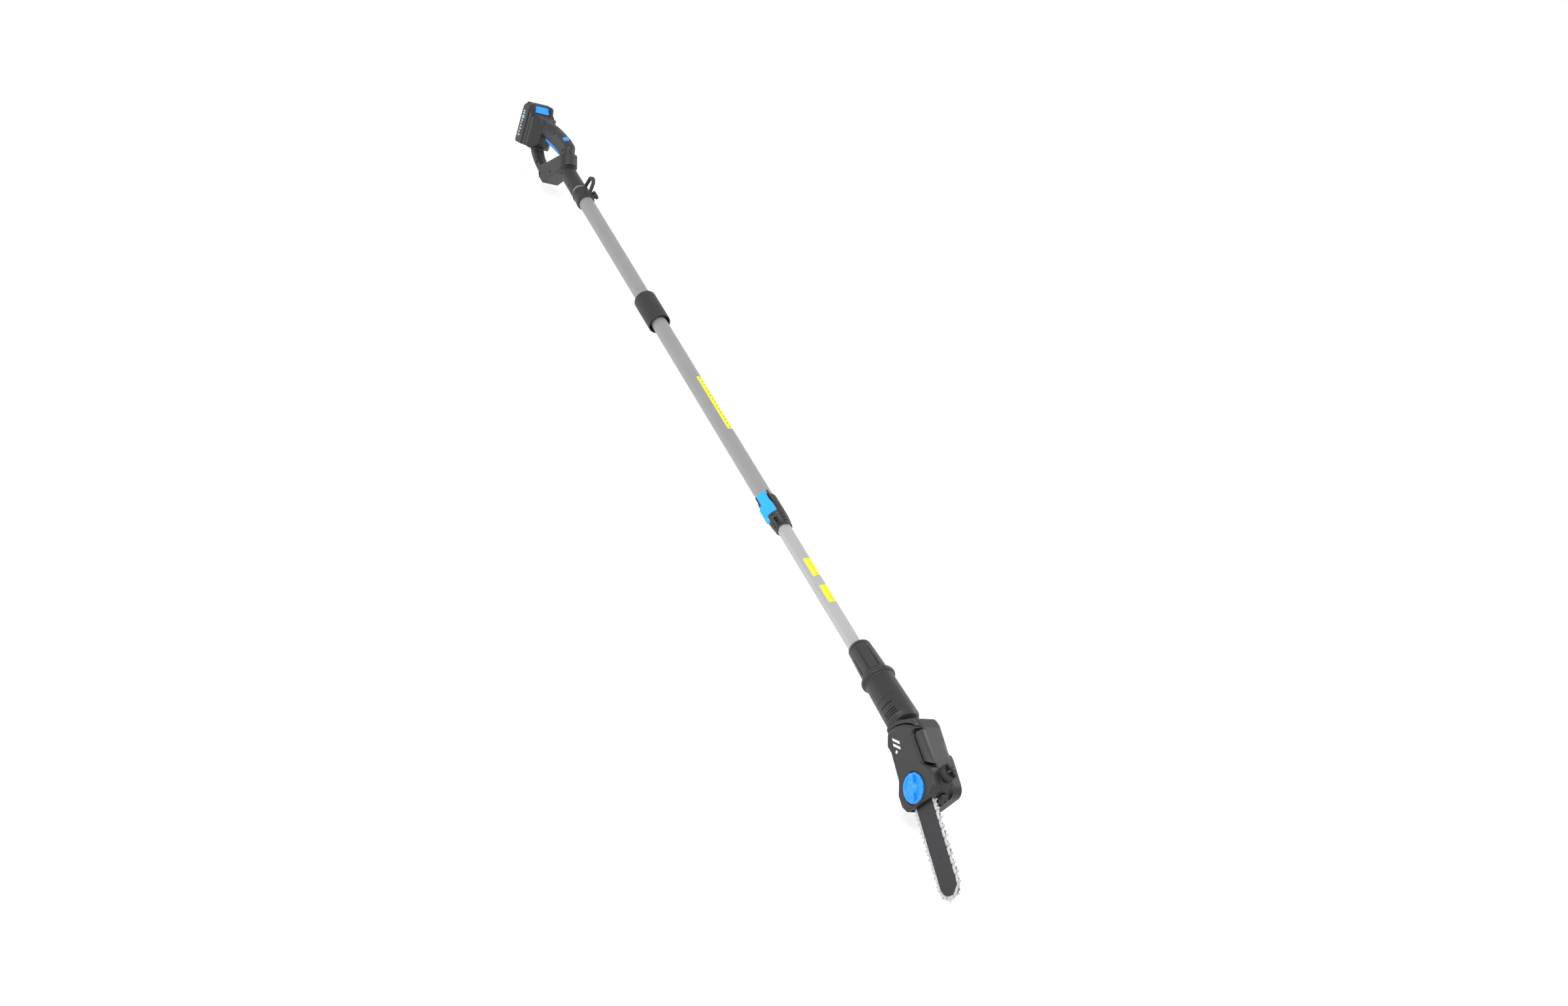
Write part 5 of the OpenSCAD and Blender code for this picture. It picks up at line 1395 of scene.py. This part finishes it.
@dataclass
class OilCap:
    """Screw cap with ribs round it and a raised cross bar, in the head's frame."""

    place: Matrix
    at: Point2 = (144.0, 74.3)
    radius: float = 16.5
    high: float = 14.0
    turn: float = 24.0

    def build(self) -> None:
        """Makes the cap and dresses its seal."""
        r, h = self.radius, self.high
        ring = [(0, 0), (0, r - 1.6), (0.8, r - 0.9), (h - 2.4, r - 1.4), (h - 0.8, r - 2.2), (h, r - 3.8),
                (h - 0.9, r - 5.0), (h - 0.9, 0)]
        form = Form.lathe(ring, 96).turn(-90, "Y")
        rib = Form.rod((r - 1.35, 0, 0.4), (r - 2.0, 0, h - 1.2), 1.15, edge=0.4, sides=12)
        form.add(rib.ring(18, "Z"))
        bar = Form.prism([(-r + 1.8, h - 2), (-r + 1.8, h + 4.4), (-r + 4.2, h + 6.5), (r - 4.2, h + 6.5),
                          (r - 1.8, h + 4.4), (r - 1.8, h - 2)], -2.3, 2.3, rim=0.9, corner=1.0)
        bar.cut(Form.block((-5, -0.6, h + 5.2), (5, 0.6, h + 9)))
        bar.add(Form.block((-2, -r + 5, h - 2), (2, r - 5, h + 5.0), 0.8))
        form.add(bar.turn(self.turn, "Z"))
        form.add(Form.rod((0, 0, -14), (0, 0, 0.5), 8.9, sides=48))
        form.shift(self.at[0], 0, self.at[1])
        finish(form, "oil_cap_moulded", "oil_cap", NYLON_BLACK, self.place, ["oil_cap"])
        dress(RUBBER, "oil_cap_seal")


# ------------------------------------------------------------------ floor, light and camera
@dataclass
class Studio:
    """Pale floor, soft light and the camera."""

    floor_gap: float = 0.004
    camera_at: Point3 = (3.523, -2.545, 2.149)
    right: Point3 = (0.394, 0.8095, 0.435)
    up: Point3 = (-0.641, -0.097, 0.761)
    back: Point3 = (0.6585, -0.579, 0.4807)

    def floor(self) -> None:
        """Plain pale floor just under the saw."""
        mesh = bpy.data.meshes.new("floor")
        bm = bmesh.new()
        bmesh.ops.create_grid(bm, x_segments=1, y_segments=1, size=30,
                              matrix=Matrix.Translation((0, 0, CAD_BOX[0][2] - self.floor_gap)))
        bm.to_mesh(mesh)
        bm.free()
        made = bpy.data.objects.new("floor", mesh)
        bpy.context.scene.collection.objects.link(made)
        white = bpy.data.materials.new("floor_paint_white")
        white.use_nodes = True
        shader = white.node_tree.nodes["Principled BSDF"]
        shader.inputs["Base Color"].default_value = linear("#fbfbfb")
        shader.inputs["Roughness"].default_value = 0.9
        shader.inputs["Specular IOR Level"].default_value = 0.1
        mesh.materials.append(white)

    def lamp(self, name: str, at: Point3, target: Point3, size: float, watts: float) -> None:
        """Square soft box at a place, facing a target."""
        light = bpy.data.lights.new(name, "AREA")
        light.shape, light.size, light.energy = "SQUARE", size, watts
        made = bpy.data.objects.new(name, light)
        turn = (Vector(target) - Vector(at)).to_track_quat("-Z", "Y").to_matrix().to_4x4()
        made.matrix_world = Matrix.Translation(at) @ turn
        bpy.context.scene.collection.objects.link(made)

    def camera(self) -> None:
        """Camera at the object's usual three-quarter view."""
        lens = bpy.data.cameras.new("camera")
        lens.lens, lens.sensor_width, lens.clip_end = 50, 36, 100
        made = bpy.data.objects.new("camera", lens)
        turn = Matrix((self.right, self.up, self.back)).transposed().to_4x4()
        made.matrix_world = Matrix.Translation(self.camera_at) @ turn
        bpy.context.scene.collection.objects.link(made)
        bpy.context.scene.camera = made

    def build(self) -> None:
        """Makes everything that isn't part of the saw."""
        world = bpy.data.worlds.new("studio")
        world.use_nodes = True
        world.node_tree.nodes["Background"].inputs["Color"].default_value = (1, 1, 1, 1)
        world.node_tree.nodes["Background"].inputs["Strength"].default_value = 0.86
        bpy.context.scene.world = world
        bpy.context.scene.view_settings.view_transform = "Standard"
        self.floor()
        self.lamp("key", (1.4, -2.6, 2.6), (0.4, 0, 0), 1.6, 60)
        self.lamp("rim", (0.5, 2.8, 1.6), (0.4, 0, 0), 1.4, 40)
        sun = bpy.data.lights.new("top", "SUN")
        sun.energy, sun.angle = 0.6, math.radians(90)
        made = bpy.data.objects.new("top", sun)
        made.matrix_world = Vector((-0.25, 0.1, -1)).to_track_quat("-Z", "Y").to_matrix().to_4x4()
        bpy.context.scene.collection.objects.link(made)
        self.camera()


def main() -> None:
    """Builds the saw from its sub-assemblies, in order."""
    logging.basicConfig(level=logging.INFO, format="%(name)s %(message)s")
    handle, head = RearHandle(), SawHead()
    for part in (Studio(), Pole(), FlipLock(), StrapClamp(), handle, BatteryPack(handle.dock_place()),
                 FrontPole(), head, SprocketCover(head.place()), BarAndChain(head.place()),
                 OilCap(head.place())):
        part.build()
        LOG.info("%s done", type(part).__name__)


if __name__ == "__main__":
    main()
